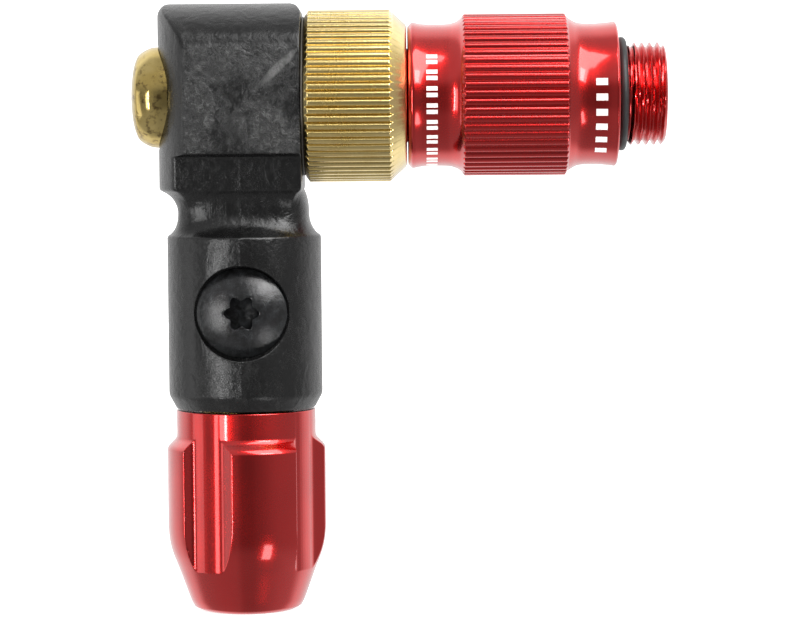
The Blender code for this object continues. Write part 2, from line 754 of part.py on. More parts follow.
def make_barb_o_ring(material):
    radius = BARB_RING_GROOVE_RADIUS + RING_CORD_RADIUS + GAP / 2
    ring = o_ring(radius, RING_CORD_RADIUS, BARB_RING_HEIGHT)
    make_object("barb_o_ring", ring, material, BARREL_LINE)


def make_ferrule(material):
    outline = [
        (FERRULE_BORE, FERRULE_BOTTOM),
        (FERRULE_BORE + 0.2, FERRULE_BOTTOM),
        (FERRULE_RADIUS, FERRULE_BOTTOM + 1.2),
        (FERRULE_RADIUS, FERRULE_TOP),
        (FERRULE_BORE, FERRULE_TOP),
    ]
    make_object("ferrule", turned(outline, MEDIUM), material, BARREL_LINE)


def land_share(angle):
    """0 on the floor of a groove, 1 on a raised land, and between the two on the slanted walls."""
    period = 2 * math.pi / NUT_LANDS
    away = (angle - NUT_GROOVE_PLACE + period / 2) % period - period / 2
    left = (NUT_FLOOR_START - away) / (NUT_FLOOR_START + NUT_GROOVE_HALF)
    right = (away - NUT_FLOOR_END) / (NUT_GROOVE_HALF - NUT_FLOOR_END)
    return min(max(left, right, 0), 1)


def nut_outline():
    """(radius, height) over the lands, from the foot to the top."""
    return [
        (NUT_FOOT_RADIUS, 0),
        (5.38, 0.42),
        (6.03, 2.1),
        (6.6, 3.75),
        (7.18, 5.2),
        (7.6, 6.65),
        (NUT_RADIUS, NUT_CONE_TOP),
        (NUT_RADIUS, NUT_BEVEL_BOTTOM),
        (BARREL_FOOT_RADIUS, NUT_RING_BOTTOM),
        (BARREL_FOOT_RADIUS, NUT_TOP),
    ]


def make_hose_nut(material):
    rings = []
    for land, height in nut_outline():
        floor = min(land, BARREL_FOOT_RADIUS)
        ring = []
        for i in range(NUT_SIDES):
            angle = 2 * math.pi * i / NUT_SIDES
            radius = floor + (land - floor) * land_share(angle)
            ring.append((radius * math.sin(angle), -radius * math.cos(angle), height))
        rings.append(ring)
    nut = make_object("hose_nut", skinned(rings), material, BARREL_LINE)
    thread = THREAD_RADIUS + GAP
    hollow_outline = [
        (0, -1),
        (NUT_MOUTH_RADIUS, -1),
        (NUT_MOUTH_RADIUS, NUT_MOUTH_TOP),
        (thread, NUT_THREAD_BOTTOM),
        (thread, NUT_TOP + 1),
        (0, NUT_TOP + 1),
    ]
    cut(nut, make_cutter("cut_nut_bore", turned(hollow_outline, FINE), BARREL_LINE))


def build():
    clear_scene()
    nylon = make_material("black_nylon", (0.018, 0.018, 0.019), 0.42, 0.0)
    brass = make_material("brass", (0.78, 0.58, 0.26), 0.2, 1.0)
    red = make_material("red_anodised", (0.52, 0.02, 0.03), 0.28, 1.0)
    rubber = make_material("black_rubber", (0.02, 0.02, 0.022), 0.55, 0.0)
    black_steel = make_material("black_steel", (0.03, 0.03, 0.032), 0.35, 1.0)
    steel = make_material("spring_steel", (0.55, 0.55, 0.56), 0.3, 1.0)
    acetal = make_material("white_acetal", (0.75, 0.74, 0.7), 0.4, 0.0)
    make_elbow_body(nylon)
    make_hose_barb(brass)
    make_barb_o_ring(rubber)
    make_lock_screw(black_steel)
    make_thrust_washer(acetal)
    make_swivel_spindle(brass)
    make_spindle_o_rings(rubber)
    make_retaining_clip(steel)
    make_swivel_collar(brass)
    make_bleed_button(brass)
    make_bleed_stem(steel)
    make_poppet_seal(rubber)
    make_bleed_spring(steel)
    make_flip_chuck(red)
    make_chuck_o_rings(rubber)
    make_chuck_seals(rubber)
    make_core_pin(steel)
    make_ferrule(acetal)
    make_hose_nut(red)


build()
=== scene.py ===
"""Looks for the pump head: fine meshes, materials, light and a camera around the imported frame.

Lengths are millimetres until a mesh is made. x runs along the spindle, z up the barrel, and
the front with the lock screw faces -Y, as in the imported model.
"""

import math

import bmesh
import bpy
import numpy as np
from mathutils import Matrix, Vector


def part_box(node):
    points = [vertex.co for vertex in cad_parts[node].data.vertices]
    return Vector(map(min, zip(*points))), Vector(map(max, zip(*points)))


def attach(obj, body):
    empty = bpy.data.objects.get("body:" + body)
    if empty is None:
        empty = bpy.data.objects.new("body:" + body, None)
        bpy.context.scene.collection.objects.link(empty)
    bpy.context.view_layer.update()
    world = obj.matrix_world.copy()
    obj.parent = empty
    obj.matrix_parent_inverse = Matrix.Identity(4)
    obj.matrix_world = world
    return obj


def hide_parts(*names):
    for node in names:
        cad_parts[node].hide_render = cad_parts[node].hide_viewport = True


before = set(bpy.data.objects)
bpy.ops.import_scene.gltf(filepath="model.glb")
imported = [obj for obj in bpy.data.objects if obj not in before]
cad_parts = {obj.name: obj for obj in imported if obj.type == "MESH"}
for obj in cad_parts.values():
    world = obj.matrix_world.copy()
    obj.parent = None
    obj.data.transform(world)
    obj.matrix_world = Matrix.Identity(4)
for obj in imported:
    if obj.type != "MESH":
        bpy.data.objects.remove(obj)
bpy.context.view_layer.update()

MM = 0.001
TURN = 2 * math.pi


def span(node, direction):
    """Where a CAD node starts and ends along x, y or z."""
    low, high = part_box(node)
    return low["xyz".index(direction)] / MM, high["xyz".index(direction)] / MM


def radius_of(node, direction):
    low, high = span(node, direction)
    return (high - low) / 2


# Places and sizes taken from the frame

COLLAR_LEFT, COLLAR_RIGHT = span("swivel_collar", "x")
COLLAR_RADIUS = radius_of("swivel_collar", "z")
SPINDLE_Z = sum(span("swivel_collar", "z")) / 2
CHUCK_LEFT, CHUCK_RIGHT = span("flip_chuck", "x")
CHUCK_RADIUS = radius_of("flip_chuck", "z")
BUTTON_TIP, BUTTON_MOUTH = span("bleed_button", "x")
BUTTON_RADIUS = radius_of("bleed_button", "z")
BLOCK_LEFT = span("elbow_body", "x")[0]
BARREL_BOTTOM, BODY_TOP = span("elbow_body", "z")
WASHER_LEFT, WASHER_RIGHT = span("thrust_washer", "x")
WASHER_RADIUS = radius_of("thrust_washer", "z")
BARB_BOTTOM, BARB_TOP = span("hose_barb", "z")
NUT_TOP = span("hose_nut", "z")[1]
NUT_RADIUS = radius_of("hose_nut", "x")
SCREW_Z = sum(span("lock_screw", "z")) / 2
SCREW_HEAD_RADIUS = radius_of("lock_screw", "z")
SCREW_TOP = -span("lock_screw", "y")[0]
SCREW_TIP = -span("lock_screw", "y")[1]

# Sizes that the CAD has inside its nodes, and thread sizes

BARREL_RADIUS = 7.5
BARREL_FOOT_RADIUS = 6.8
NUT_FOOT_RADIUS = 4.65
NUT_THREAD_LOW = 15.6
THREAD_RADIUS = 5.0
THREAD_PITCH = 0.75
THREAD_DEPTH = 0.44
FEMALE_RADIUS = THREAD_RADIUS + 0.05
WIDE_BORE = 3.9
WIDE_BORE_END = 22.1
WIDE_THREAD_END = 15.5
WIDE_PITCH = 0.794  # of a Schrader stem
NARROW_BORE = 2.65
NARROW_THREAD_START = 35.6
NARROW_PITCH = 1.058  # of a Presta stem


# Paths and grids


def soften(points, softness, closed=True, steps=4):
    """Rounds the corners of a path. softness is how far each corner's rounding reaches along its sides.
    The path's points may be single points, or whole rings that are rounded point by point."""
    points = [np.asarray(point, float) for point in points]
    rounded = []
    for i, (point, reach) in enumerate(zip(points, softness)):
        at_end = not closed and i in (0, len(points) - 1)
        if reach <= 0 or at_end:
            rounded.append(point)
            continue
        before = points[i - 1] - point
        after = points[(i + 1) % len(points)] - point
        before_length = np.maximum(np.linalg.norm(before, axis=-1, keepdims=True), 1e-9)
        after_length = np.maximum(np.linalg.norm(after, axis=-1, keepdims=True), 1e-9)
        start = point + before * np.minimum(reach / before_length, 0.49)
        end = point + after * np.minimum(reach / after_length, 0.49)
        for k in range(steps + 1):
            t = k / steps
            rounded.append((1 - t) ** 2 * start + 2 * t * (1 - t) * point + t**2 * end)
    return rounded


def softened_outline(corners, closed=True, steps=4):
    """Corners are (radius, place, softness)."""
    return soften([corner[:2] for corner in corners], [corner[2] for corner in corners], closed, steps)


def flowing(points, steps=4):
    """A smooth curve through (radius, place) points, as corners that need no more rounding."""
    points = [np.asarray(point, float) for point in points]
    padded = [2 * points[0] - points[1], *points, 2 * points[-1] - points[-2]]
    curve = []
    for a, b, c, d in zip(padded, padded[1:], padded[2:], padded[3:]):
        for k in range(steps):
            t = k / steps
            slope, bend, twist = c - a, 2 * a - 5 * b + 4 * c - d, 3 * b - a - 3 * c + d
            curve.append(0.5 * (2 * b + slope * t + bend * t**2 + twist * t**3))
    curve.append(points[-1])
    return [(radius, place, 0) for radius, place in curve]


def divided(outline, zones, closed=True):
    """Splits the outline's stretches that lie in a zone.
    A zone is ((low, high) radius, (low, high) place, step)."""
    result = []
    following = outline[1:] + (outline[:1] if closed else [])
    for a, b in zip(outline, following):
        result.append(a)
        for radii, places, step in zones:
            radius_ok = min(a[0], b[0]) >= radii[0] - 1e-6 and max(a[0], b[0]) <= radii[1] + 1e-6
            place_ok = min(a[1], b[1]) >= places[0] - 1e-6 and max(a[1], b[1]) <= places[1] + 1e-6
            if radius_ok and place_ok:
                pieces = max(1, math.ceil(np.linalg.norm(b - a) / step))
                result += [a + (b - a) * k / pieces for k in range(1, pieces)]
                break
    if not closed:
        result.append(outline[-1])
    return result


def spindle_points(radius, place, angle):
    """Angles about the spindle run from the front upwards."""
    return np.stack([place, -radius * np.cos(angle), SPINDLE_Z + radius * np.sin(angle)], axis=-1)


def barrel_points(radius, place, angle):
    """Angles about the barrel run from the front towards +X."""
    return np.stack([radius * np.sin(angle), -radius * np.cos(angle), place], axis=-1)


def screw_points(radius, place, angle):
    """Places along the lock screw run from the barrel's axis to the front."""
    return np.stack([radius * np.cos(angle), -place, SCREW_Z + radius * np.sin(angle)], axis=-1)


def grid_mesh(name, rings, wrap=False, sharp=30):
    """A mesh from a stack of closed rings, (rings, points, 3). With wrap, the last ring joins the first."""
    rings = np.asarray(rings, float)
    count, around = rings.shape[:2]
    rows = np.arange(count if wrap else count - 1)
    low = (rows[:, None] * around + np.arange(around)[None, :]).ravel()
    low_next = (rows[:, None] * around + (np.arange(around)[None, :] + 1) % around).ravel()
    high = (low + around) % (count * around)
    high_next = (low_next + around) % (count * around)
    faces = np.stack([low, low_next, high_next, high], axis=1).tolist()
    mesh = bpy.data.meshes.new(name)
    mesh.from_pydata((rings.reshape(-1, 3) * MM).tolist(), [], faces)
    bm = bmesh.new()
    bm.from_mesh(mesh)
    bmesh.ops.remove_doubles(bm, verts=bm.verts, dist=2e-8)
    bmesh.ops.recalc_face_normals(bm, faces=bm.faces)
    bm.to_mesh(mesh)
    bm.free()
    smooth(mesh, sharp)
    return mesh


def smooth(mesh, sharp):
    mesh.shade_smooth()
    mesh.set_sharp_from_angle(angle=math.radians(sharp))


def turned_mesh(name, outline, around, points, shape=None, closed=True, sharp=30):
    """Turns an outline round a line. shape(radius, place, angle) may change each point's radius."""
    outline = np.array(outline)
    angle = np.tile(np.arange(around) * TURN / around, (len(outline), 1))
    radius = np.repeat(outline[:, :1], around, axis=1)
    place = np.repeat(outline[:, 1:], around, axis=1)
    if shape:
        radius = shape(radius, place, angle)
    return grid_mesh(name, points(radius, place, angle), wrap=closed, sharp=sharp)


# Surface patterns on turned pieces


def straight_knurl(angle, crest, teeth, depth, sharpness=3.2):
    """Rounded teeth with narrow grooves between them."""
    away = np.abs(2 * np.mod(angle * teeth / TURN + 0.5, 1) - 1)
    return crest - depth * away**sharpness


def thread_wave(angle, place, pitch):
    """0 on the crest and 1 in the root of a right-hand thread."""
    away = np.abs(2 * np.mod(place / pitch - angle / TURN, 1) - 1)
    return np.clip((away - 0.15) / 0.65, 0, 1)


# Materials


class Nodes:
    """Builds one material's nodes. Inputs are given by name, as a value or as another node's output."""

    def __init__(self, name):
        self.material = bpy.data.materials.new(name)
        self.material.use_nodes = True
        self.tree = self.material.node_tree
        self.shader = self.tree.nodes["Principled BSDF"]

    def connect(self, socket, value):
        if isinstance(value, bpy.types.NodeSocket):
            self.tree.links.new(value, socket)
        else:
            socket.default_value = value

    def add(self, kind, settings=None, inputs=None):
        node = self.tree.nodes.new(kind)
        for key, value in (settings or {}).items():
            setattr(node, key, value)
        for key, value in (inputs or {}).items():
            self.connect(node.inputs[key], value)
        return node

    def set(self, **inputs):
        """Sets shader inputs, named in small letters with underscores."""
        for key, value in inputs.items():
            self.connect(self.shader.inputs[key.replace("_", " ").title().replace("Ior", "IOR")], value)

    def place(self):
        """The piece's own coordinates, which move with it."""
        return self.add("ShaderNodeTexCoord").outputs["Object"]

    def stretched(self, scale):
        return self.add(
            "ShaderNodeMapping", inputs={"Vector": self.place(), "Scale": scale}
        ).outputs["Vector"]

    def noise(self, scale, detail=2.0, roughness=0.5, vector=None, distortion=0.0):
        node = self.add(
            "ShaderNodeTexNoise",
            inputs={
                "Vector": vector or self.place(),
                "Scale": scale,
                "Detail": detail,
                "Roughness": roughness,
                "Distortion": distortion,
            },
        )
        return node.outputs["Fac"]

    def math(self, operation, *values):
        node = self.add("ShaderNodeMath", {"operation": operation})
        for socket, value in zip(node.inputs, values):
            self.connect(socket, value)
        return node.outputs[0]

    def times(self, first, second):
        return self.math("MULTIPLY", first, second)

    def plus(self, first, second):
        return self.math("ADD", first, second)

    def minus(self, first, second):
        return self.math("SUBTRACT", first, second)

    def larger(self, first, second):
        return self.math("MAXIMUM", first, second)

    def between(self, value, low, high, out_low=0.0, out_high=1.0):
        """Maps low..high to out_low..out_high, smoothly and clamped."""
        node = self.add(
            "ShaderNodeMapRange",
            {"interpolation_type": "SMOOTHSTEP"},
            {"Value": value, "From Min": low, "From Max": high, "To Min": out_low, "To Max": out_high},
        )
        return node.outputs["Result"]

    def mix(self, share, first, second):
        node = self.add("ShaderNodeMix", {"data_type": "RGBA"})
        self.connect(node.inputs["Factor"], share)
        for socket, value in ((node.inputs[6], first), (node.inputs[7], second)):
            self.connect(socket, (*value, 1.0) if isinstance(value, tuple) else value)
        return node.outputs[2]

    def bump(self, height, distance, strength=1.0, after=None):
        inputs = {"Height": height, "Distance": distance, "Strength": strength}
        if after:
            inputs["Normal"] = after
        return self.add("ShaderNodeBump", inputs=inputs).outputs["Normal"]

    def xyz(self):
        return self.add("ShaderNodeSeparateXYZ", inputs={"Vector": self.place()}).outputs


def patch(n, coordinates, centre, reach, lean=0.0):
    """A soft patch on the front: 1 in its middle, 0 beyond its reach. lean turns it about its middle."""
    x = n.minus(coordinates[0], centre[0] * MM)
    z = n.minus(coordinates[2], centre[1] * MM)
    c, s = math.cos(math.radians(lean)), math.sin(math.radians(lean))
    length, width = reach[0] * MM, reach[1] * MM
    along = n.plus(n.times(x, c / length), n.times(z, s / length))
    across = n.minus(n.times(z, c / width), n.times(x, s / width))
    away = n.plus(n.times(along, along), n.times(across, across))
    return n.between(away, 0.0, 1.4, 1.0, 0.0)


RUBBED_PATCHES = (  # middle (x, z), reach, lean in degrees and strength
    ((-4.2, 48.9), (2.0, 4.8), 0, 1.0),
    ((-2.1, 53.4), (3.6, 2.6), 0, 0.6),
    ((2.8, 53.0), (3.0, 2.8), 0, 0.5),
    ((2.6, 46.8), (3.8, 2.4), -35, 0.85),
)
RUBBED_EVERYWHERE = 0.2
SCUFF = ((3.6, 52.5), (2.8, 0.45), 43)


def nylon():
    """Moulded glass-filled nylon: deep black with a fine grain, and worn on the front of the block, where
    the crinkle's crests are paler, partly wear and partly painted highlight.
    """
    n = Nodes("moulded_nylon")
    place = n.xyz()
    flow = n.noise(320, 6, 0.62, n.stretched((1.0, 1.0, 0.55)), 1.6)
    fine = n.noise(9000, 3, 0.6)
    crumbs = n.noise(2600, 5, 0.7, None, 1.0)
    crinkle = n.noise(1500, 6, 0.72, None, 0.9)
    streaks = n.noise(1.0, 4, 0.65, n.stretched((1500, 1500, 700)), 1.4)
    front = n.between(place[1], -(HALF_DEPTH - 0.2) * MM, -(HALF_DEPTH - 0.04) * MM)
    front = n.times(front, n.between(place[2], (BLOCK_BOTTOM - 0.1) * MM, BLOCK_BOTTOM * MM))
    rubbed = RUBBED_EVERYWHERE
    for centre, reach, lean, strength in RUBBED_PATCHES:
        rubbed = n.larger(rubbed, n.times(patch(n, place, centre, reach, lean), strength))
    uneven = n.between(n.noise(420, 4, 0.65, None, 0.8), 0.36, 0.6, 0.25, 1.0)
    rubbed = n.times(n.times(rubbed, uneven), front)
    scuff = n.times(n.times(patch(n, place, *SCUFF), front), uneven)
    # paler crests of the crinkle in the rubbed patches and the scuff: partly wear, partly painted highlight
    # standing in for glints on the crests
    crest_wear_and_painted_glints = n.between(crinkle, 0.48, 0.7)
    pale = n.times(n.between(n.times(flow, streaks), 0.24, 0.4), 0.05)
    pale = n.larger(pale, n.times(rubbed, n.plus(crest_wear_and_painted_glints, 0.12)))
    pale = n.larger(pale, n.times(scuff, n.plus(crest_wear_and_painted_glints, 0.9)))
    n.set(base_color=n.mix(pale, (0.003, 0.003, 0.003), (0.1, 0.1, 0.098)), specular_ior_level=0.48)
    roughness = n.plus(n.between(flow, 0.3, 0.7, 0.2, 0.28), n.between(fine, 0.3, 0.7, -0.03, 0.05))
    n.set(roughness=n.plus(roughness, n.times(pale, 0.25)))
    grain = n.bump(fine, 0.00002, 0.5)
    grain = n.bump(crumbs, 0.00005, 0.5, grain)
    grain = n.bump(n.times(rubbed, crinkle), 0.0004, 1.0, grain)
    n.set(normal=n.bump(n.noise(700, 3, 0.6, None, 0.8), 0.00012, 0.7, grain))
    return n.material


def brass(name, turned_along=None, polish=0.0, painted_shade=1.0):
    """Turned brass has fine tool marks across its axis. Polished brass has dark spots of tarnish. A
    painted_shade below 1 darkens the whole colour as painted shade.
    """
    n = Nodes(name)
    tarnish = n.noise(260, 5, 0.6)
    fine = n.noise(5200, 3, 0.6)
    bright, dull = (0.80, 0.62, 0.25), (0.66, 0.48, 0.15)
    # painted shade: the colour is scaled down by painted_shade, standing in for the dark reflection across
    # the button's face
    shades = [tuple(part * painted_shade for part in colour) for colour in (bright, dull)]
    colour = n.mix(n.between(tarnish, 0.35, 0.75), *shades)
    height = fine
    if turned_along:
        height = n.noise(1.0, 3, 0.6, n.stretched([9000 if way == turned_along else 300 for way in "xyz"]))
    else:
        spots = n.between(n.noise(1300, 5, 0.68), 0.5, 0.66)
        cloudy = n.between(n.noise(190, 2, 0.5), 0.38, 0.54)
        colour = n.mix(n.times(n.times(spots, cloudy), 0.85), colour, (0.13, 0.08, 0.03))
    uneven = n.plus(tarnish, n.times(fine, 0.5))
    n.set(base_color=colour, metallic=1.0)
    n.set(roughness=n.between(uneven, 0.4, 1.1, 0.16 - polish, 0.3 - polish))
    n.set(coat_weight=1.0 if turned_along else 0.0, coat_roughness=0.15)
    n.set(normal=n.bump(height, 0.00002, 0.45 if turned_along else 0.12))
    return n.material


def anodised(name, marks=None):
    """Red anodised aluminium: clear red metal under a thin glossy oxide layer, worn paler in tiny spots."""
    n = Nodes(name)
    cloud = n.noise(180, 4, 0.55)
    fine = n.noise(6000, 4, 0.65)
    red = n.mix(n.between(cloud, 0.3, 0.7), (0.62, 0.007, 0.006), (0.54, 0.005, 0.004))
    speck = n.between(n.noise(2600, 2, 0.5), 0.78, 0.86)
    red = n.mix(n.times(speck, 0.35), red, (0.75, 0.2, 0.2))
    roughness = n.between(n.plus(cloud, n.times(fine, 0.6)), 0.4, 1.2, 0.17, 0.33)
    metallic = 1.0
    if marks:
        mask = marks(n)
        red = n.mix(mask, red, (0.86, 0.85, 0.83))
        roughness = n.plus(roughness, n.times(mask, 0.3))
        metallic = n.minus(1.0, n.times(mask, 0.85))
    n.set(base_color=red, metallic=metallic, roughness=roughness)
    n.set(coat_weight=1.0, coat_roughness=0.1, coat_ior=1.58)
    n.set(normal=n.bump(n.noise(1.0, 3, 0.6, n.stretched((5200, 700, 700))), 0.00001, 0.18))
    return n.material


# From and to along x, from and to round it in degrees, spacing, ticks in a space, half width
TICK_BANDS = (
    (17.8, 18.9, -85, 37, 13.55, (0.22, 0.6), 1.9),
    (33.95, 35.1, -57, 17, 12.3, (0.35,), 3.1),
)


def end_marks(n):
    """Laser-marked ticks that tell the chuck's ends apart: pairs at the wide end, singles at the other."""
    x, y, z = n.xyz()
    up = n.minus(z, SPINDLE_Z * MM)
    angle = n.math("DEGREES", n.math("ARCTAN2", up, n.times(y, -1.0)))
    marked = 0.0
    for left, right, low, high, spacing, ticks, half in TICK_BANDS:
        inside = n.times(
            n.between(x, left * MM, (left + 0.04) * MM), n.between(x, right * MM, (right - 0.04) * MM)
        )
        arc = n.times(n.between(angle, low, low + 0.3), n.between(angle, high, high - 0.3))
        phase = n.math("FRACT", n.math("DIVIDE", n.minus(angle, low), spacing))
        width = half / spacing
        for tick in ticks:
            off = n.math("ABSOLUTE", n.minus(phase, tick))
            marked = n.larger(marked, n.times(n.times(inside, arc), n.between(off, width, width * 0.8)))
    etched = n.between(n.noise(7000, 2, 0.6), 0.25, 0.5, 0.78, 1.0)
    return n.times(marked, etched)


def rubber(name="nitrile_rubber"):
    n = Nodes(name)
    cloud = n.noise(700, 4, 0.6)
    fine = n.noise(12000, 2, 0.5)
    n.set(base_color=n.mix(cloud, (0.010, 0.0105, 0.011), (0.022, 0.023, 0.024)))
    n.set(roughness=n.between(cloud, 0.3, 0.7, 0.38, 0.55), specular_ior_level=0.55)
    n.set(normal=n.bump(fine, 0.00001, 0.4))
    return n.material


def black_oxide():
    """Blackened steel of the lock screw: dark, with a mottled sheen, and painted shade down in its recess,
    where the reflection is turned low.
    """
    n = Nodes("black_oxide_steel")
    mottle = n.noise(1500, 6, 0.7, None, 0.6)
    fine = n.noise(8000, 3, 0.6)
    n.set(base_color=n.mix(n.between(mottle, 0.35, 0.7), (0.004, 0.004, 0.004), (0.014, 0.015, 0.016)))
    x, y, z = n.xyz()
    up = n.minus(z, SCREW_Z * MM)
    away = n.math("SQRT", n.plus(n.times(x, x), n.times(up, up)))
    # painted shade: inside the recess the reflection is turned low, so that the recess reads dark
    recess_painted_shade = n.times(n.between(away, 2.0 * MM, 1.8 * MM), n.between(y, -7.0 * MM, -6.75 * MM))
    n.set(specular_ior_level=n.between(recess_painted_shade, 0.0, 1.0, 0.5, 0.1))
    n.set(roughness=n.between(mottle, 0.3, 0.7, 0.14, 0.24))
    n.set(normal=n.bump(mottle, 0.00006, 0.5, n.bump(fine, 0.00002, 0.6)))
    return n.material


def bright_steel():
    n = Nodes("drawn_steel")
    cloud = n.noise(900, 4, 0.6)
    n.set(base_color=n.mix(cloud, (0.5, 0.5, 0.51), (0.64, 0.64, 0.65)), metallic=1.0)
    n.set(roughness=n.between(cloud, 0.3, 0.7, 0.22, 0.38))
    n.set(normal=n.bump(n.noise(1.0, 2, 0.5, n.stretched((600, 6000, 6000))), 0.00001, 0.25))
    return n.material


def acetal(name, pale):
    n = Nodes(name)
    cloud = n.noise(500, 4, 0.6)
    pale_shades = (0.62, 0.6, 0.54), (0.74, 0.72, 0.67)
    # painted shade: the dark olive colours stand in for the shade in the narrow gap between the block and
    # the collar
    painted_shade_colours = (0.035, 0.03, 0.022), (0.07, 0.06, 0.045)
    n.set(base_color=n.mix(cloud, *(pale_shades if pale else painted_shade_colours)))
    n.set(roughness=n.between(cloud, 0.3, 0.7, 0.38, 0.5))
    n.set(normal=n.bump(n.noise(7000, 2, 0.5), 0.00001, 0.4))
    return n.material


# Pieces


def add_piece(name, mesh, material, body, node):
    piece = bpy.data.objects.new(name, mesh)
    bpy.context.scene.collection.objects.link(piece)
    mesh.materials.clear()
    mesh.materials.append(material)
    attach(piece, body)
    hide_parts(node)
    return piece


def make_collar(material):
    """Knurled collar. The grooves run out on its two chamfers."""
    teeth, depth = 66, 0.34
    root = COLLAR_RADIUS - depth
    bore = FEMALE_RADIUS
    mouth, mouth_depth = 6.1, 0.95
    air, floor, spindle_seat = 2.0, 10.6, 10.1
    left_depth, left_width = 0.54, 0.4
    right_depth, right_width = 1.49, 1.65
    corners = [
        (3.5, COLLAR_LEFT, 0),
        (COLLAR_RADIUS - left_depth, COLLAR_LEFT, 0.08),
        (root, COLLAR_LEFT + left_width * (1 - depth / left_depth), 0),
        (COLLAR_RADIUS, COLLAR_LEFT + left_width, 0.07),
        (COLLAR_RADIUS, COLLAR_RIGHT - right_width, 0.08),
        (root, COLLAR_RIGHT - right_width * (1 - depth / right_depth), 0),
        (COLLAR_RADIUS - right_depth, COLLAR_RIGHT, 0.2),
        (mouth, COLLAR_RIGHT, 0.12),
        (mouth, COLLAR_RIGHT - mouth_depth, 0),
        (bore + 0.35, COLLAR_RIGHT - mouth_depth, 0.05),
        (bore, COLLAR_RIGHT - 1.3, 0.05),
        (bore, floor, 0),
        (air, floor, 0),
        (air, spindle_seat, 0),
        (3.5, spindle_seat, 0),
    ]
    outline = softened_outline(corners)
    ends = ((root - 1e-3, COLLAR_RADIUS - 1e-4), (COLLAR_LEFT, COLLAR_RIGHT), 0.04)
    thread = ((bore, bore), (11.0, COLLAR_RIGHT - 1.2), THREAD_PITCH / 8)
    outline = divided(outline, (ends, thread))

    def shape(radius, place, angle):
        grooved = np.minimum(radius, straight_knurl(angle, COLLAR_RADIUS, teeth, depth))
        radius = np.where(radius > root - 1e-3, grooved, radius)
        in_thread = (np.abs(radius - bore) < 1e-3) & (place > 11.0) & (place < COLLAR_RIGHT - 1.3)
        return np.where(in_thread, bore + 0.4 * thread_wave(angle, place, THREAD_PITCH), radius)

    mesh = turned_mesh("collar", outline, teeth * 10, spindle_points, shape)
    add_piece("knurled_collar", mesh, material, "swivel", "swivel_collar")


def chuck_corners(root, crest):
    """The chuck's outline: from the mouth of its wide end, over the outside and back through the bore."""
    shoulder, right_shoulder, thread_start = 16.05, 36.3, 37.35
    groove = 4.53
    corners = [
        (WIDE_BORE, CHUCK_LEFT, 0.1),
        (THREAD_RADIUS - 0.4, CHUCK_LEFT, 0.08),
        (THREAD_RADIUS, CHUCK_LEFT + 0.4, 0.05),
        (THREAD_RADIUS, shoulder - 1.25, 0.05),
        (groove, shoulder - 1.05, 0.05),
        (groove, shoulder, 0.05),
        (6.7, shoulder, 0.14),
        (7.08, shoulder + 0.38, 0.14),
    ]
    corners += flowing(
        (
            (7.07, 16.65),
            (6.95, 17.25),
            (6.89, 17.85),
            (6.88, 18.4),
            (6.88, 19.0),
            (6.89, 19.6),
            (6.95, 20.2),
            (7.1, 20.7),
            (7.3, 21.05),
            (root, 21.26),
        )
    )
    corners += [(crest, 21.52, 0.06), (crest, 31.28, 0.06)]
    corners += flowing(
        (
            (root, 31.5),
            (7.28, 31.85),
            (6.98, 32.4),
            (6.87, 33.0),
            (6.85, 33.6),
            (6.85, 34.2),
            (6.88, 34.8),
            (6.93, 35.35),
            (7.0, 35.9),
        )
    )
    corners += [
        (7.03, 36.12, 0.06),
        (6.85, right_shoulder, 0.08),
        (groove, right_shoulder, 0.05),
        (groove, thread_start, 0.05),
        (THREAD_RADIUS, thread_start + 0.3, 0.05),
        (THREAD_RADIUS, CHUCK_RIGHT - 0.4, 0.06),
        (THREAD_RADIUS - 0.42, CHUCK_RIGHT, 0.1),
        (NARROW_BORE + 0.35, CHUCK_RIGHT, 0.1),
        (NARROW_BORE, CHUCK_RIGHT - 0.35, 0.05),
        (NARROW_BORE, NARROW_THREAD_START, 0),
        (NARROW_BORE, 32.7, 0),
        (3.25, 32.7, 0),
        (3.25, 29.5, 0),
        (1.2, 29.5, 0),
        (1.2, 22.8, 0),
        (2.6, 22.8, 0),
        (2.6, WIDE_BORE_END, 0),
        (WIDE_BORE, WIDE_BORE_END, 0),
        (WIDE_BORE, WIDE_THREAD_END, 0),
    ]
    return corners


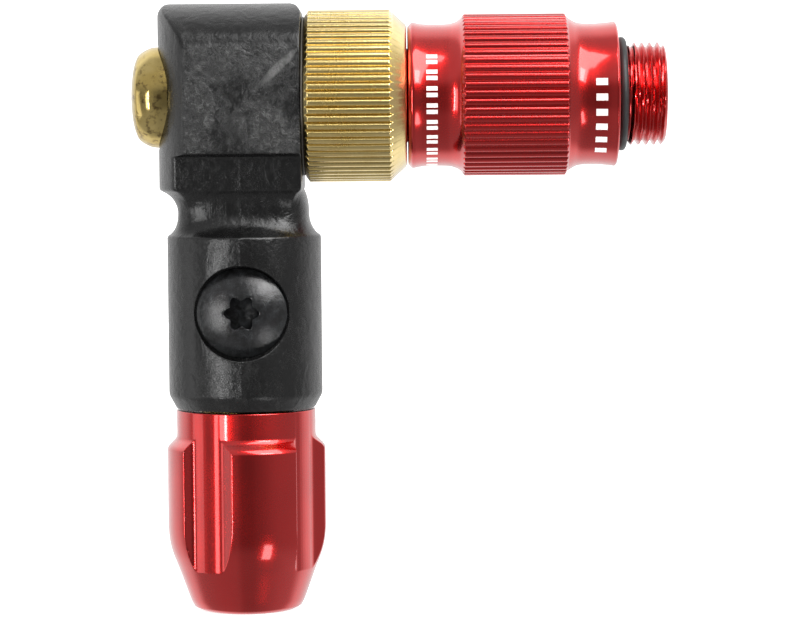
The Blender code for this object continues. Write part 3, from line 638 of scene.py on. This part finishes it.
def make_chuck(material):
    """Reversible chuck: threaded at both ends, waisted, and knurled in the middle."""
    teeth, depth = 58, 0.34
    crest = CHUCK_RADIUS
    root = crest - depth
    left_thread, right_thread = (CHUCK_LEFT + 0.02, 15.0), (37.4, CHUCK_RIGHT - 0.02)
    zones = (
        ((root - 1e-3, crest - 1e-4), (21, 32), 0.04),
        ((4.5, THREAD_RADIUS), (right_thread[0] - 0.1, CHUCK_RIGHT), THREAD_PITCH / 8),
        ((4.5, THREAD_RADIUS), (CHUCK_LEFT, left_thread[1] + 0.1), THREAD_PITCH / 8),
        ((NARROW_BORE, NARROW_BORE), (NARROW_THREAD_START, CHUCK_RIGHT - 0.3), 0.17),
        ((WIDE_BORE, WIDE_BORE), (CHUCK_LEFT, WIDE_THREAD_END), 0.13),
    )
    outline = divided(softened_outline(chuck_corners(root, crest)), zones)

    def shape(radius, place, angle):
        outside = (radius > root - 1e-3) & (place > 21)
        radius = np.where(outside, np.minimum(radius, straight_knurl(angle, crest, teeth, depth)), radius)
        male = THREAD_RADIUS - THREAD_DEPTH * thread_wave(angle, place, THREAD_PITCH)
        on_left = (place > left_thread[0]) & (place < left_thread[1])
        on_right = (place > right_thread[0]) & (place < right_thread[1])
        on_thread = (radius > 4.48) & (radius < THREAD_RADIUS + 0.01) & (on_left | on_right)
        radius = np.where(on_thread, np.minimum(radius, male), radius)
        female = NARROW_BORE - 0.26 * (1 - thread_wave(angle, place, NARROW_PITCH))
        in_narrow = (np.abs(radius - NARROW_BORE) < 1e-3) & (place > 35.8) & (place < CHUCK_RIGHT - 0.4)
        radius = np.where(in_narrow, female, radius)
        female = WIDE_BORE - 0.24 * (1 - thread_wave(angle, place, WIDE_PITCH))
        in_wide = (np.abs(radius - WIDE_BORE) < 1e-3) & (place > CHUCK_LEFT + 0.2) & (place < 15.3)
        return np.where(in_wide, female, radius)

    mesh = turned_mesh("chuck", outline, teeth * 7, spindle_points, shape)
    add_piece("reversible_chuck", mesh, material, "chuck", "flip_chuck")


def make_button(material):
    """Domed button with a full rounded edge, hollow behind, with a thin lip round its mouth."""
    profile = (
        (0.0, 0.0),
        (1.2, 0.045),
        (2.2, 0.15),
        (3.0, 0.29),
        (3.6, 0.47),
        (4.11, 0.73),
        (4.43, 1.12),
        (4.67, 1.55),
        (4.83, 1.98),
        (BUTTON_RADIUS, 2.5),
    )
    lip = BUTTON_RADIUS - 0.13
    corners = flowing([(radius, BUTTON_TIP + back) for radius, back in profile], 6)
    corners += [
        (BUTTON_RADIUS, BUTTON_MOUTH + 0.6, 0.05),
        (lip, BUTTON_MOUTH + 0.6, 0.05),
        (lip, BUTTON_MOUTH, 0.05),
        (BUTTON_RADIUS - 0.9, BUTTON_MOUTH, 0.12),
        (BUTTON_RADIUS - 0.9, BUTTON_TIP + 1.5, 0.2),
        (0.85, BUTTON_TIP + 1.5, 0),
        (0.85, BUTTON_TIP + 0.7, 0),
        (0, BUTTON_TIP + 0.7, 0),
    ]
    outline = softened_outline(corners, closed=False)
    mesh = turned_mesh("button", outline, 144, spindle_points, closed=False)
    add_piece("air_release_button", mesh, material, "button", "bleed_button")


def make_washer(material):
    corners = [
        (3.55, WASHER_LEFT, 0),
        (WASHER_RADIUS, WASHER_LEFT, 0.08),
        (WASHER_RADIUS, WASHER_RIGHT, 0.08),
        (3.55, WASHER_RIGHT, 0),
    ]
    mesh = turned_mesh("washer", softened_outline(corners), 160, spindle_points)
    add_piece("collar_washer", mesh, material, "elbow", "thrust_washer")


def make_o_ring(name, node, body, material, bulge=0.0):
    """A ring of round section in its CAD node's place. One squeezed between two faces bulges outwards."""
    left, right = span(node, "x")
    cord = (right - left) / 2
    inner = radius_of(node, "z") - 2 * cord
    half = cord + bulge / 2
    outline = []
    section = 24
    for i in range(section):
        angle = TURN * i / section
        outline.append((inner + half + half * math.cos(angle), (left + right) / 2 + cord * math.sin(angle)))
    mesh = turned_mesh(name, outline, 128, spindle_points)
    add_piece(name, mesh, material, body, node)


def make_screw(material):
    """Domed screw with a six-lobe recess. Rings are (radius, lobing, height on or below the dome)."""
    around = 144
    angle = np.arange(around) * TURN / around
    recess, depth, rim = 1.5, 1.3, SCREW_HEAD_RADIUS
    edge_height = 5.98
    rise = SCREW_TOP - edge_height
    ball = (rim**2 + rise**2) / (2 * rise)

    def dome(radius):
        return SCREW_TOP - ball + np.sqrt(ball**2 - radius**2)

    def ring(radius, lobing, below=None, height=None):
        reach = radius * (1 + lobing * 0.165 * np.cos(6 * angle))
        level = dome(reach) - below if height is None else np.full(around, height)
        return screw_points(reach, level, angle)

    floor = SCREW_TOP - depth
    rings = [ring(0.0, 0, height=floor - 0.25), ring(0.7, 0.3, height=floor - 0.12)]
    rings += [ring(1.2, 0.8, height=floor)]
    rings += [ring(recess * 0.955, 1, height=floor), ring(recess * 0.97, 1, below=0.14)]
    rings += [ring(recess * 0.985, 1, below=0.05), ring(recess * 1.02, 1, below=0.01)]
    inner, outer = recess * 1.02, rim - 0.22
    for k in range(1, 15):
        share = k / 14
        rings.append(ring(inner + (outer - inner) * share, (1 - share) ** 2, below=0.0))
    side = [(rim - 0.12, 0.03), (rim - 0.04, 0.09), (rim, 0.2)]
    rings += [ring(radius, 0, height=float(dome(rim - 0.2)) - drop) for radius, drop in side]
    shank = 1.95
    seat = 5.55
    under = [(rim, seat + 0.05), (rim - 0.05, seat), (shank, seat)]
    under += [(shank, SCREW_TIP + 0.3), (shank - 0.3, SCREW_TIP), (0.0, SCREW_TIP)]
    rings += [ring(radius, 0, height=height) for radius, height in under]
    mesh = grid_mesh("screw", rings, sharp=38)
    add_piece("domed_lock_screw", mesh, material, "elbow", "lock_screw")


# Hose nut

NUT_LANDS = 4
GROOVE_PLACE = 61.4  # middle of one groove, in degrees from the front towards +X
GROOVE_FOOT = -17.0  # where its floor starts and ends, from the middle
GROOVE_HEEL = 11.0
GROOVE_HALF = 20.2  # where the raised lands start


def nut_section():
    """Angles and radii round the nut: floors flush with the plain ring, slanted walls and raised lands."""
    period = 360 / NUT_LANDS
    path = []
    softness = []

    def add(angle, radius, reach):
        turn = math.radians(angle)
        path.append((radius * math.sin(turn), radius * math.cos(turn)))
        softness.append(reach)

    for number in range(NUT_LANDS):
        middle = GROOVE_PLACE + period * number
        add(middle + GROOVE_FOOT, BARREL_FOOT_RADIUS, 0.42)
        for k in range(2, 7):
            add(middle + GROOVE_FOOT + (GROOVE_HEEL - GROOVE_FOOT) * k / 8, BARREL_FOOT_RADIUS, 0)
        add(middle + GROOVE_HEEL, BARREL_FOOT_RADIUS, 0.35)
        add(middle + GROOVE_HALF, NUT_RADIUS, 0.16)
        for k in range(1, 20):
            add(middle + GROOVE_HALF + (period - 2 * GROOVE_HALF) * k / 20, NUT_RADIUS, 0)
        add(middle + period - GROOVE_HALF, NUT_RADIUS, 0.14)
    rounded = np.array(soften(path, softness, steps=8))
    spread = []
    for a, b in zip(rounded, np.roll(rounded, -1, axis=0)):
        pieces = max(1, math.ceil(np.linalg.norm(b - a) / 0.16))
        spread += [a + (b - a) * k / pieces for k in range(pieces)]
    spread = np.array(spread)
    return np.arctan2(spread[:, 0], spread[:, 1]), np.hypot(spread[:, 0], spread[:, 1])


def nut_outline():
    """(radius, height) over the lands, up the outside and down through the threaded bore."""
    bore = FEMALE_RADIUS
    corners = [(NUT_FOOT_RADIUS, 0, 0.1)]
    corners += flowing(
        (
            (5.3, 0.35),
            (5.58, 0.9),
            (5.88, 1.7),
            (6.17, 2.5),
            (6.46, 3.3),
            (6.76, 4.1),
            (7.08, 4.9),
            (7.36, 5.67),
            (7.56, 6.46),
            (7.68, 7.25),
            (NUT_RADIUS, 8.2),
        )
    )
    corners += [
        (NUT_RADIUS, 15.82, 0.16),
        (7.58, 16.14, 0.2),
        (BARREL_FOOT_RADIUS, 16.9, 0.34),
        (BARREL_FOOT_RADIUS, NUT_TOP, 0.12),
        (bore + 0.3, NUT_TOP, 0.06),
        (bore, NUT_TOP - 0.3, 0.05),
        (bore, NUT_THREAD_LOW, 0),
        (bore, 4.8, 0.2),
        (3.9, 2.2, 0.1),
        (3.9, 0, 0.1),
    ]
    zones = (
        ((BARREL_FOOT_RADIUS - 0.5, NUT_RADIUS), (3.0, 8.2), 0.11),
        ((BARREL_FOOT_RADIUS, NUT_RADIUS), (15.5, 17.3), 0.07),
        ((bore, bore), (NUT_THREAD_LOW, NUT_TOP), THREAD_PITCH / 7),
    )
    return divided(softened_outline(corners), zones)


def make_nut(material):
    bore = FEMALE_RADIUS
    outline = np.array(nut_outline())
    angle, pattern = nut_section()
    angle = np.tile(angle, (len(outline), 1))
    place = np.repeat(outline[:, 1:], angle.shape[1], axis=1)
    radius = np.repeat(outline[:, :1], angle.shape[1], axis=1)
    radius = np.where(radius > BARREL_FOOT_RADIUS - 0.3, np.minimum(radius, pattern), radius)
    in_thread = (np.abs(radius - bore) < 1e-3) & (place > NUT_THREAD_LOW)
    radius = np.where(in_thread, bore + 0.38 * thread_wave(angle, -place, THREAD_PITCH), radius)
    mesh = grid_mesh("nut", barrel_points(radius, place, angle), wrap=True, sharp=35)
    add_piece("four_land_hose_nut", mesh, material, "nut", "hose_nut")


def make_barb(material):
    """Turned insert: plug with an O-ring groove above, male thread and hose barb below."""
    bore, plug = 1.5, 4.15
    thread_bottom, thread_top = 13.6, 19.75
    groove_low, groove_high, groove = 31.65, 32.95, 3.1
    corners = [(bore, BARB_BOTTOM, 0.05), (2.0, BARB_BOTTOM, 0.05)]
    for step in range(3):
        top = BARB_BOTTOM + 2 * (step + 1)
        corners += [(2.8, top, 0.06), (2.4, top, 0.04)]
    corners += [
        (2.4, thread_bottom, 0.1),
        (THREAD_RADIUS - 0.45, thread_bottom, 0.05),
        (THREAD_RADIUS, thread_bottom + 0.45, 0.05),
        (THREAD_RADIUS, thread_top - 0.3, 0.05),
        (THREAD_RADIUS - 0.4, thread_top, 0.05),
        (plug, thread_top, 0),
        (plug, groove_low, 0.05),
        (groove, groove_low, 0),
        (groove, groove_high, 0),
        (plug, groove_high, 0.05),
        (plug, BARB_TOP - 0.3, 0.05),
        (plug - 0.3, BARB_TOP, 0.05),
        (bore, BARB_TOP, 0.05),
    ]
    zone = ((THREAD_RADIUS - 0.46, THREAD_RADIUS), (thread_bottom, thread_top), THREAD_PITCH / 8)
    outline = divided(softened_outline(corners), (zone,))

    def shape(radius, place, angle):
        on_thread = (radius > plug + 0.1) & (place > thread_bottom + 0.01) & (place < thread_top - 0.01)
        male = THREAD_RADIUS - THREAD_DEPTH * thread_wave(angle, -place, THREAD_PITCH)
        return np.where(on_thread, np.minimum(radius, male), radius)

    mesh = turned_mesh("barb", outline, 144, barrel_points, shape)
    barb = add_piece("hose_barb_insert", mesh, material, "elbow", "hose_barb")
    cutter = cutter_object("barb_cutter", 2.05, 2.05, 8.0, 48, screw_points)
    apply_cuts(barb, [cutter])
    smooth(barb.data, 30)


# Elbow body


def cutter_object(name, radius, start, end, around, points):
    """A cylinder to cut with."""
    outline = [(0, start), (radius, start), (radius, end), (0, end)]
    mesh = turned_mesh(name, outline, around, points, closed=False)
    cutter = bpy.data.objects.new(name, mesh)
    bpy.context.scene.collection.objects.link(cutter)
    return cutter


def apply_cuts(piece, cutters):
    """Cuts with each cutter, writes the result to the piece's mesh and removes the cutters."""
    for cutter in cutters:
        modifier = piece.modifiers.new(cutter.name, "BOOLEAN")
        modifier.operation = "DIFFERENCE"
        modifier.solver = "EXACT"
        modifier.object = cutter
    depsgraph = bpy.context.evaluated_depsgraph_get()
    result = bpy.data.meshes.new_from_object(piece.evaluated_get(depsgraph))
    piece.modifiers.clear()
    material = piece.data.materials[0]
    piece.data = result
    result.materials.clear()
    result.materials.append(material)
    for cutter in cutters:
        bpy.data.objects.remove(cutter)


BLOCK_RIGHT = 5.8
BLOCK_BOTTOM = 44.45
END_RADIUS = 11.0
HALF_DEPTH = 7.4
NECK_DEPTH = 6.0
NECK_TOP = 41.0
WAIST_Z = 38.75
BARREL_TOP = 36.5
CORNER_REACH = (0.15, 0.15, 0.28, 0.28)  # at the start of the right, back, left and front side
CORNER_STEPS = 5
SIDE_COUNTS = (22, 36, 26, 36)  # right, back, left, front
BACK, FRONT = 1, 3
RIDGE = 0.07  # half width of the parting ridge
RIDGE_HEIGHT = 0.012


def left_end(y):
    return BLOCK_LEFT + END_RADIUS - np.sqrt(END_RADIUS**2 - y**2)


def ridge_shares(left, right):
    """How far along the back and the front side the parting ridge is."""
    middle = -left / (right - left)
    return {BACK: 1 - middle, FRONT: middle}


def side_shares(left, right):
    """Where the points of each side lie. The front and back have three close points for the ridge."""
    sides = [np.linspace(0, 1, count + 1)[:-1] for count in SIDE_COUNTS]
    step = RIDGE / (right - left)
    for side, middle in ridge_shares(left, right).items():
        nearest = np.sort(np.argsort(np.abs(sides[side] - middle))[:3])
        sides[side][nearest] = (middle - step, middle, middle + step)
    return sides


def block_section(half_depth, inset):
    """Level section of the block or neck: a flat right side, back and front, and a round left end."""
    right = BLOCK_RIGHT - inset
    left = float(left_end(half_depth)) + inset

    def on_side(side, t):
        t = np.asarray(t, float)
        if side == 0:
            return np.stack([np.full_like(t, right), half_depth * (2 * t - 1)], -1)
        if side == 1:
            return np.stack([right + (left - right) * t, np.full_like(t, half_depth)], -1)
        if side == 2:
            y = half_depth * (1 - 2 * t)
            return np.stack([left_end(y) + inset, y], -1)
        return np.stack([left + (right - left) * t, np.full_like(t, -half_depth)], -1)

    lengths = (2 * half_depth, right - left, 2 * half_depth, right - left)
    reach = [min(corner, 0.45 * half_depth) for corner in CORNER_REACH]
    shares = side_shares(left, right)
    points = []
    for side in range(4):
        before = (side - 1) % 4
        trim = reach[side] / max(lengths[side], 1e-6)
        end_trim = reach[(side + 1) % 4] / max(lengths[side], 1e-6)
        start = on_side(before, 1 - reach[side] / max(lengths[before], 1e-6))
        middle = on_side(side, 0.0)
        end = on_side(side, trim)
        for k in range(CORNER_STEPS):
            t = k / CORNER_STEPS
            points.append((1 - t) ** 2 * start + 2 * t * (1 - t) * middle + t**2 * end)
        for share in shares[side]:
            if share < trim or share > 1 - end_trim:
                share = trim + share * (1 - trim - end_trim)
            points.append(on_side(side, share))
    return np.array(points)


def ridge_points():
    """Indices of the section's points on the parting ridge, at the back and at the front."""
    left = float(left_end(NECK_DEPTH))
    shares = side_shares(left, BLOCK_RIGHT)
    indices = []
    for side, middle in ridge_shares(left, BLOCK_RIGHT).items():
        start = sum(SIDE_COUNTS[:side]) + CORNER_STEPS * (side + 1)
        indices.append(start + int(np.argmin(np.abs(shares[side] - middle))))
    return indices


def concave(share, bend=0.93):
    return (1 - math.sqrt(1 - (bend * share) ** 2)) / (1 - math.sqrt(1 - bend**2))


def corner_inset(height, rounding=1.3):
    """How far the rounded top corners pull the two ends in."""
    above = height - (BODY_TOP - rounding)
    return 0 if above <= 0 else rounding - math.sqrt(max(rounding**2 - above**2, 0))


def block_outline():
    """(half depth, height) of the block seen from its end, from above the ledge to the crown."""
    crown = BODY_TOP - SPINDLE_Z
    fillet = 3.5
    fillet_y = HALF_DEPTH - fillet
    fillet_z = SPINDLE_Z + math.sqrt((crown - fillet) ** 2 - fillet_y**2)
    meet = math.atan2(fillet_z - SPINDLE_Z, fillet_y)
    outline = []
    for k in range(11):
        angle = meet * k / 10
        outline.append((fillet_y + fillet * math.cos(angle), fillet_z + fillet * math.sin(angle)))
    steps = 22
    for k in range(1, steps + 1):
        angle = meet + (math.pi / 2 - meet) * k / steps
        outline.append((crown * math.cos(angle), SPINDLE_Z + crown * math.sin(angle)))
    outline[-1] = (0.0, BODY_TOP)
    return outline


def body_rings():
    """Level rings from the foot of the barrel to the crown, with the sharp changes softened."""
    neck = block_section(NECK_DEPTH, 0)
    angles = np.arctan2(neck[:, 1], neck[:, 0])

    def circle(radius):
        return np.stack([radius * np.cos(angles), radius * np.sin(angles)], -1)

    waist_radius = (np.abs(np.cos(angles) / 6.33) ** 4 + np.abs(np.sin(angles) / 5.3) ** 4) ** -0.25
    waist = np.stack([waist_radius * np.cos(angles), waist_radius * np.sin(angles)], -1)
    barrel = circle(BARREL_RADIUS)
    levels = [
        (circle(BARREL_FOOT_RADIUS), BARREL_BOTTOM, 0.12),
        (barrel, 21.1, 0.3),
        (barrel, 24.4, 0),
        (barrel, 28.4, 0),
        (barrel, 32.4, 0),
        (barrel, BARREL_TOP, 0.2),
    ]
    for k in range(1, 11):
        share = 1 - k / 10
        height = WAIST_Z + (BARREL_TOP - WAIST_Z) * share
        levels.append((waist + (barrel - waist) * concave(share), height, 0))
    for k in range(1, 11):
        share = k / 10
        height = WAIST_Z + (NECK_TOP - WAIST_Z) * share
        levels.append((waist + (neck - waist) * concave(share), height, 0.3 if k == 10 else 0))
    levels.append((neck, BLOCK_BOTTOM - 0.25, 0.2))
    levels.append((block_section(HALF_DEPTH, 0), BLOCK_BOTTOM, 0.16))
    for half_depth, height in block_outline():
        levels.append((block_section(half_depth, corner_inset(height)), height, 0))
    rings = []
    for section, height, _ in levels:
        rings.append(np.concatenate([section, np.full((len(section), 1), height)], axis=1))
    rings = soften(rings, [level[2] for level in levels], closed=False, steps=4)
    for ring in rings:
        for index in ridge_points():
            outward = ring[index, :2] / max(np.linalg.norm(ring[index, :2]), 1e-6)
            fade = min(abs(ring[index, 1]) / 2, 1)
            ring[index, :2] += outward * RIDGE_HEIGHT * fade
    return rings


def rim_edges(bm, on_rim, outside):
    """Sharp edges whose two ends are on a cutter's rim, on the outside of the body."""
    found = []
    for edge in bm.edges:
        places = [v.co / MM for v in edge.verts]
        if len(edge.link_faces) != 2 or not all(outside(place) and on_rim(place) for place in places):
            continue
        if edge.calc_face_angle(0) > math.radians(30):
            found.append(edge)
    return found


def make_body(material):
    rings = body_rings()
    floor = rings[0].copy()
    floor[:, :2] *= 0
    rings.insert(0, floor)
    mesh = grid_mesh("elbow", rings)
    body = add_piece("moulded_elbow", mesh, material, "elbow", "elbow_body")
    pocket_floor, button_floor = 5.5, -5.45
    bore, pocket, screw_room = 3.5, 5.1, 4.55
    beyond = 12
    parts = (
        ("bore", bore, button_floor - 1, 9, 96, spindle_points),
        ("pocket", pocket, -beyond, button_floor, 144, spindle_points),
        ("air_way", 1.2, 33.4, SPINDLE_Z, 32, barrel_points),
        ("plug_room", 4.2, 16, 34.4, 96, barrel_points),
        ("screw_room", screw_room, pocket_floor, beyond, 144, screw_points),
        ("screw_way", 2.1, 2, 6.5, 48, screw_points),
    )
    apply_cuts(body, [cutter_object(*part) for part in parts])
    bm = bmesh.new()
    bm.from_mesh(body.data)
    screw_rim = rim_edges(
        bm, lambda p: abs(math.hypot(p[0], p[2] - SCREW_Z) - screw_room) < 0.01, lambda p: p[1] < -5.7
    )
    button_rim = rim_edges(
        bm, lambda p: abs(math.hypot(p[1], p[2] - SPINDLE_Z) - pocket) < 0.01, lambda p: p[0] < -6
    )
    for rim, width in ((screw_rim, 0.1), (button_rim, 0.2)):
        bmesh.ops.bevel(
            bm, geom=rim, offset=width * MM, offset_type="OFFSET", segments=4, profile=0.5, affect="EDGES"
        )
    bm.to_mesh(body.data)
    bm.free()
    smooth(body.data, 28)


# Finish of the CAD nodes that stay


def finish_cad_nodes(finishes):
    for names, material in finishes:
        for name in names:
            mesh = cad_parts[name].data
            mesh.materials.clear()
            mesh.materials.append(material)


# Studio


def make_studio():
    """A pale floor that sweeps up behind, soft boxes, and a camera about 29 cm in front."""
    scene = bpy.context.scene
    scene.view_settings.view_transform = "Standard"
    make_sweep(scene)
    make_world(scene)
    middle = Vector((8, 0, 34)) * MM
    soft_box("left_box", middle, -41, -5, 410, (95, 220), 3.8)
    soft_box("left_core", middle, -32, -5, 400, (20, 250), 26.0)
    soft_box("left_fill", middle, -84, -8, 425, (170, 310), 1.1)
    soft_box("upper_box", middle, 38, 45, 410, (290, 390), 5.2)
    soft_box("upper_core", middle, 34, 30, 400, (130, 130), 7.0)
    soft_box("low_card", middle, 33, -34, 420, (85, 140), 5.0)
    make_camera(scene)


def make_sweep(scene):
    """Floor and backdrop in one sheet, kept out of reflections, which see the world instead."""
    white = Nodes("studio_white")
    grain = white.noise(40, 3, 0.5)
    white.set(base_color=white.mix(grain, (0.86, 0.86, 0.86), (0.9, 0.9, 0.9)), roughness=0.9)
    white.set(emission_color=(1.0, 1.0, 1.0, 1.0), emission_strength=0.9)
    profile = [(-60, 0)]
    bend = 300
    for k in range(13):
        angle = math.pi / 2 * k / 12
        profile.append((500 + bend * math.sin(angle), bend - bend * math.cos(angle)))
    profile.append((800, 1600))
    bm = bmesh.new()
    gap = 0.00002  # under the nut's foot
    rows = [[bm.verts.new((x * MM, y * MM, z * MM - gap)) for x in (-2500, 2500)] for y, z in profile]
    for a, b in zip(rows, rows[1:]):
        bm.faces.new((a[0], a[1], b[1], b[0]))
    mesh = bpy.data.meshes.new("sweep")
    bm.to_mesh(mesh)
    bm.free()
    mesh.shade_smooth()
    mesh.materials.append(white.material)
    sweep = bpy.data.objects.new("studio_sweep", mesh)
    scene.collection.objects.link(sweep)
    sweep.visible_glossy = False


def soft_box(name, target, azimuth, elevation, distance, size, radiance):
    """An area light that faces the part from an azimuth (0 in front, 90 on the right) and an elevation."""
    data = bpy.data.lights.new(name, "AREA")
    data.shape = "RECTANGLE"
    data.size = size[0] * MM
    data.size_y = size[1] * MM
    data.energy = radiance * math.pi * data.size * data.size_y
    lamp = bpy.data.objects.new(name, data)
    bpy.context.scene.collection.objects.link(lamp)
    a, e = math.radians(azimuth), math.radians(elevation)
    way = Vector((math.sin(a) * math.cos(e), -math.cos(a) * math.cos(e), math.sin(e)))
    lamp.location = target + way * distance * MM
    lamp.rotation_euler = way.to_track_quat("Z", "Y").to_euler()


def make_world(scene):
    """White behind and dimmest in front, so that round pieces show their form."""
    world = bpy.data.worlds.new("studio_world")
    scene.world = world
    world.use_nodes = True
    tree = world.node_tree

    def add(kind, settings, values):
        node = tree.nodes.new(kind)
        for key, value in settings.items():
            setattr(node, key, value)
        for key, value in values.items():
            if isinstance(value, bpy.types.NodeSocket):
                tree.links.new(value, node.inputs[key])
            else:
                node.inputs[key].default_value = value
        return node.outputs

    def ramp(value, low, high, out_low, out_high, kind):
        values = {"Value": value, "From Min": low, "From Max": high, "To Min": out_low, "To Max": out_high}
        return add("ShaderNodeMapRange", {"interpolation_type": kind}, values)[0]

    way = add("ShaderNodeSeparateXYZ", {}, {"Vector": add("ShaderNodeTexCoord", {}, {})["Generated"]})
    parts = (
        ramp(way["Y"], -1.0, -0.1, 0.28, 0.36, "LINEAR"),
        ramp(way["Y"], 0.12, 0.45, 0.0, 0.7, "SMOOTHSTEP"),
        ramp(way["Z"], 0.15, 0.5, 0.0, 0.36, "SMOOTHSTEP"),
        ramp(way["Z"], -0.3, -0.6, 0.0, 0.14, "SMOOTHSTEP"),
        ramp(way["X"], 0.3, 0.8, 0.0, 0.16, "SMOOTHSTEP"),
        ramp(way["X"], -0.22, -0.08, 0.0, -0.12, "SMOOTHSTEP"),
        ramp(way["X"], 0.16, 0.32, 0.0, 0.06, "SMOOTHSTEP"),
    )
    shown = parts[0]
    for part in parts[1:]:
        shown = add("ShaderNodeMath", {"operation": "ADD"}, {0: shown, 1: part})[0]
    camera_ray = add("ShaderNodeLightPath", {}, {})["Is Camera Ray"]
    strength = add("ShaderNodeMath", {"operation": "MAXIMUM"}, {0: camera_ray, 1: shown})[0]
    background = tree.nodes["Background"]
    tree.links.new(strength, background.inputs["Strength"])
    background.inputs["Color"].default_value = (1.0, 1.0, 1.0, 1.0)


def make_camera(scene):
    data = bpy.data.cameras.new("camera")
    data.sensor_width = 36.0
    data.lens = 133.07
    data.clip_start = 0.01
    data.clip_end = 20
    camera = bpy.data.objects.new("camera", data)
    scene.collection.objects.link(camera)
    place = Vector((15.13, -288.5, 44.7)) * MM
    target = Vector((15.13, 0.0, 29.25)) * MM
    camera.location = place
    turn = (place - target).to_track_quat("Z", "Y").to_euler()
    turn.rotate_axis("Z", math.radians(-0.48))
    camera.rotation_euler = turn
    scene.camera = camera


turned_brass = brass("turned_brass", "x")
barb_brass = brass("barb_brass", "z")
# the button's brass is a darker copy, 0.7 of the colour, as painted shade
polished_brass = brass("polished_brass", None, 0.09, 0.7)
red = anodised("red_anodised_nut")
marked_red = anodised("red_anodised_chuck", end_marks)
o_ring_rubber = rubber()
steel = bright_steel()
make_body(nylon())
make_collar(turned_brass)
make_chuck(marked_red)
make_button(polished_brass)
# the washer's dark olive colour is painted shade for the narrow gap it sits in
make_washer(acetal("washer_painted_shade", False))
make_o_ring("outer_end_o_ring", "outer_chuck_o_ring", "chuck", o_ring_rubber)
make_o_ring("inner_end_o_ring", "inner_chuck_o_ring", "chuck_carrier", o_ring_rubber, 0.45)
make_screw(black_oxide())
make_nut(red)
make_barb(barb_brass)
finish_cad_nodes(
    (
        (("swivel_spindle",), turned_brass),
        (("barb_o_ring", "spindle_o_ring_left", "spindle_o_ring_right", "poppet_seal"), o_ring_rubber),
        (("schrader_seal", "presta_seal"), rubber("seal_rubber")),
        (("retaining_clip", "bleed_spring", "bleed_stem", "core_pin"), steel),
        (("ferrule",), acetal("pale_acetal", True)),
    )
)
make_studio()
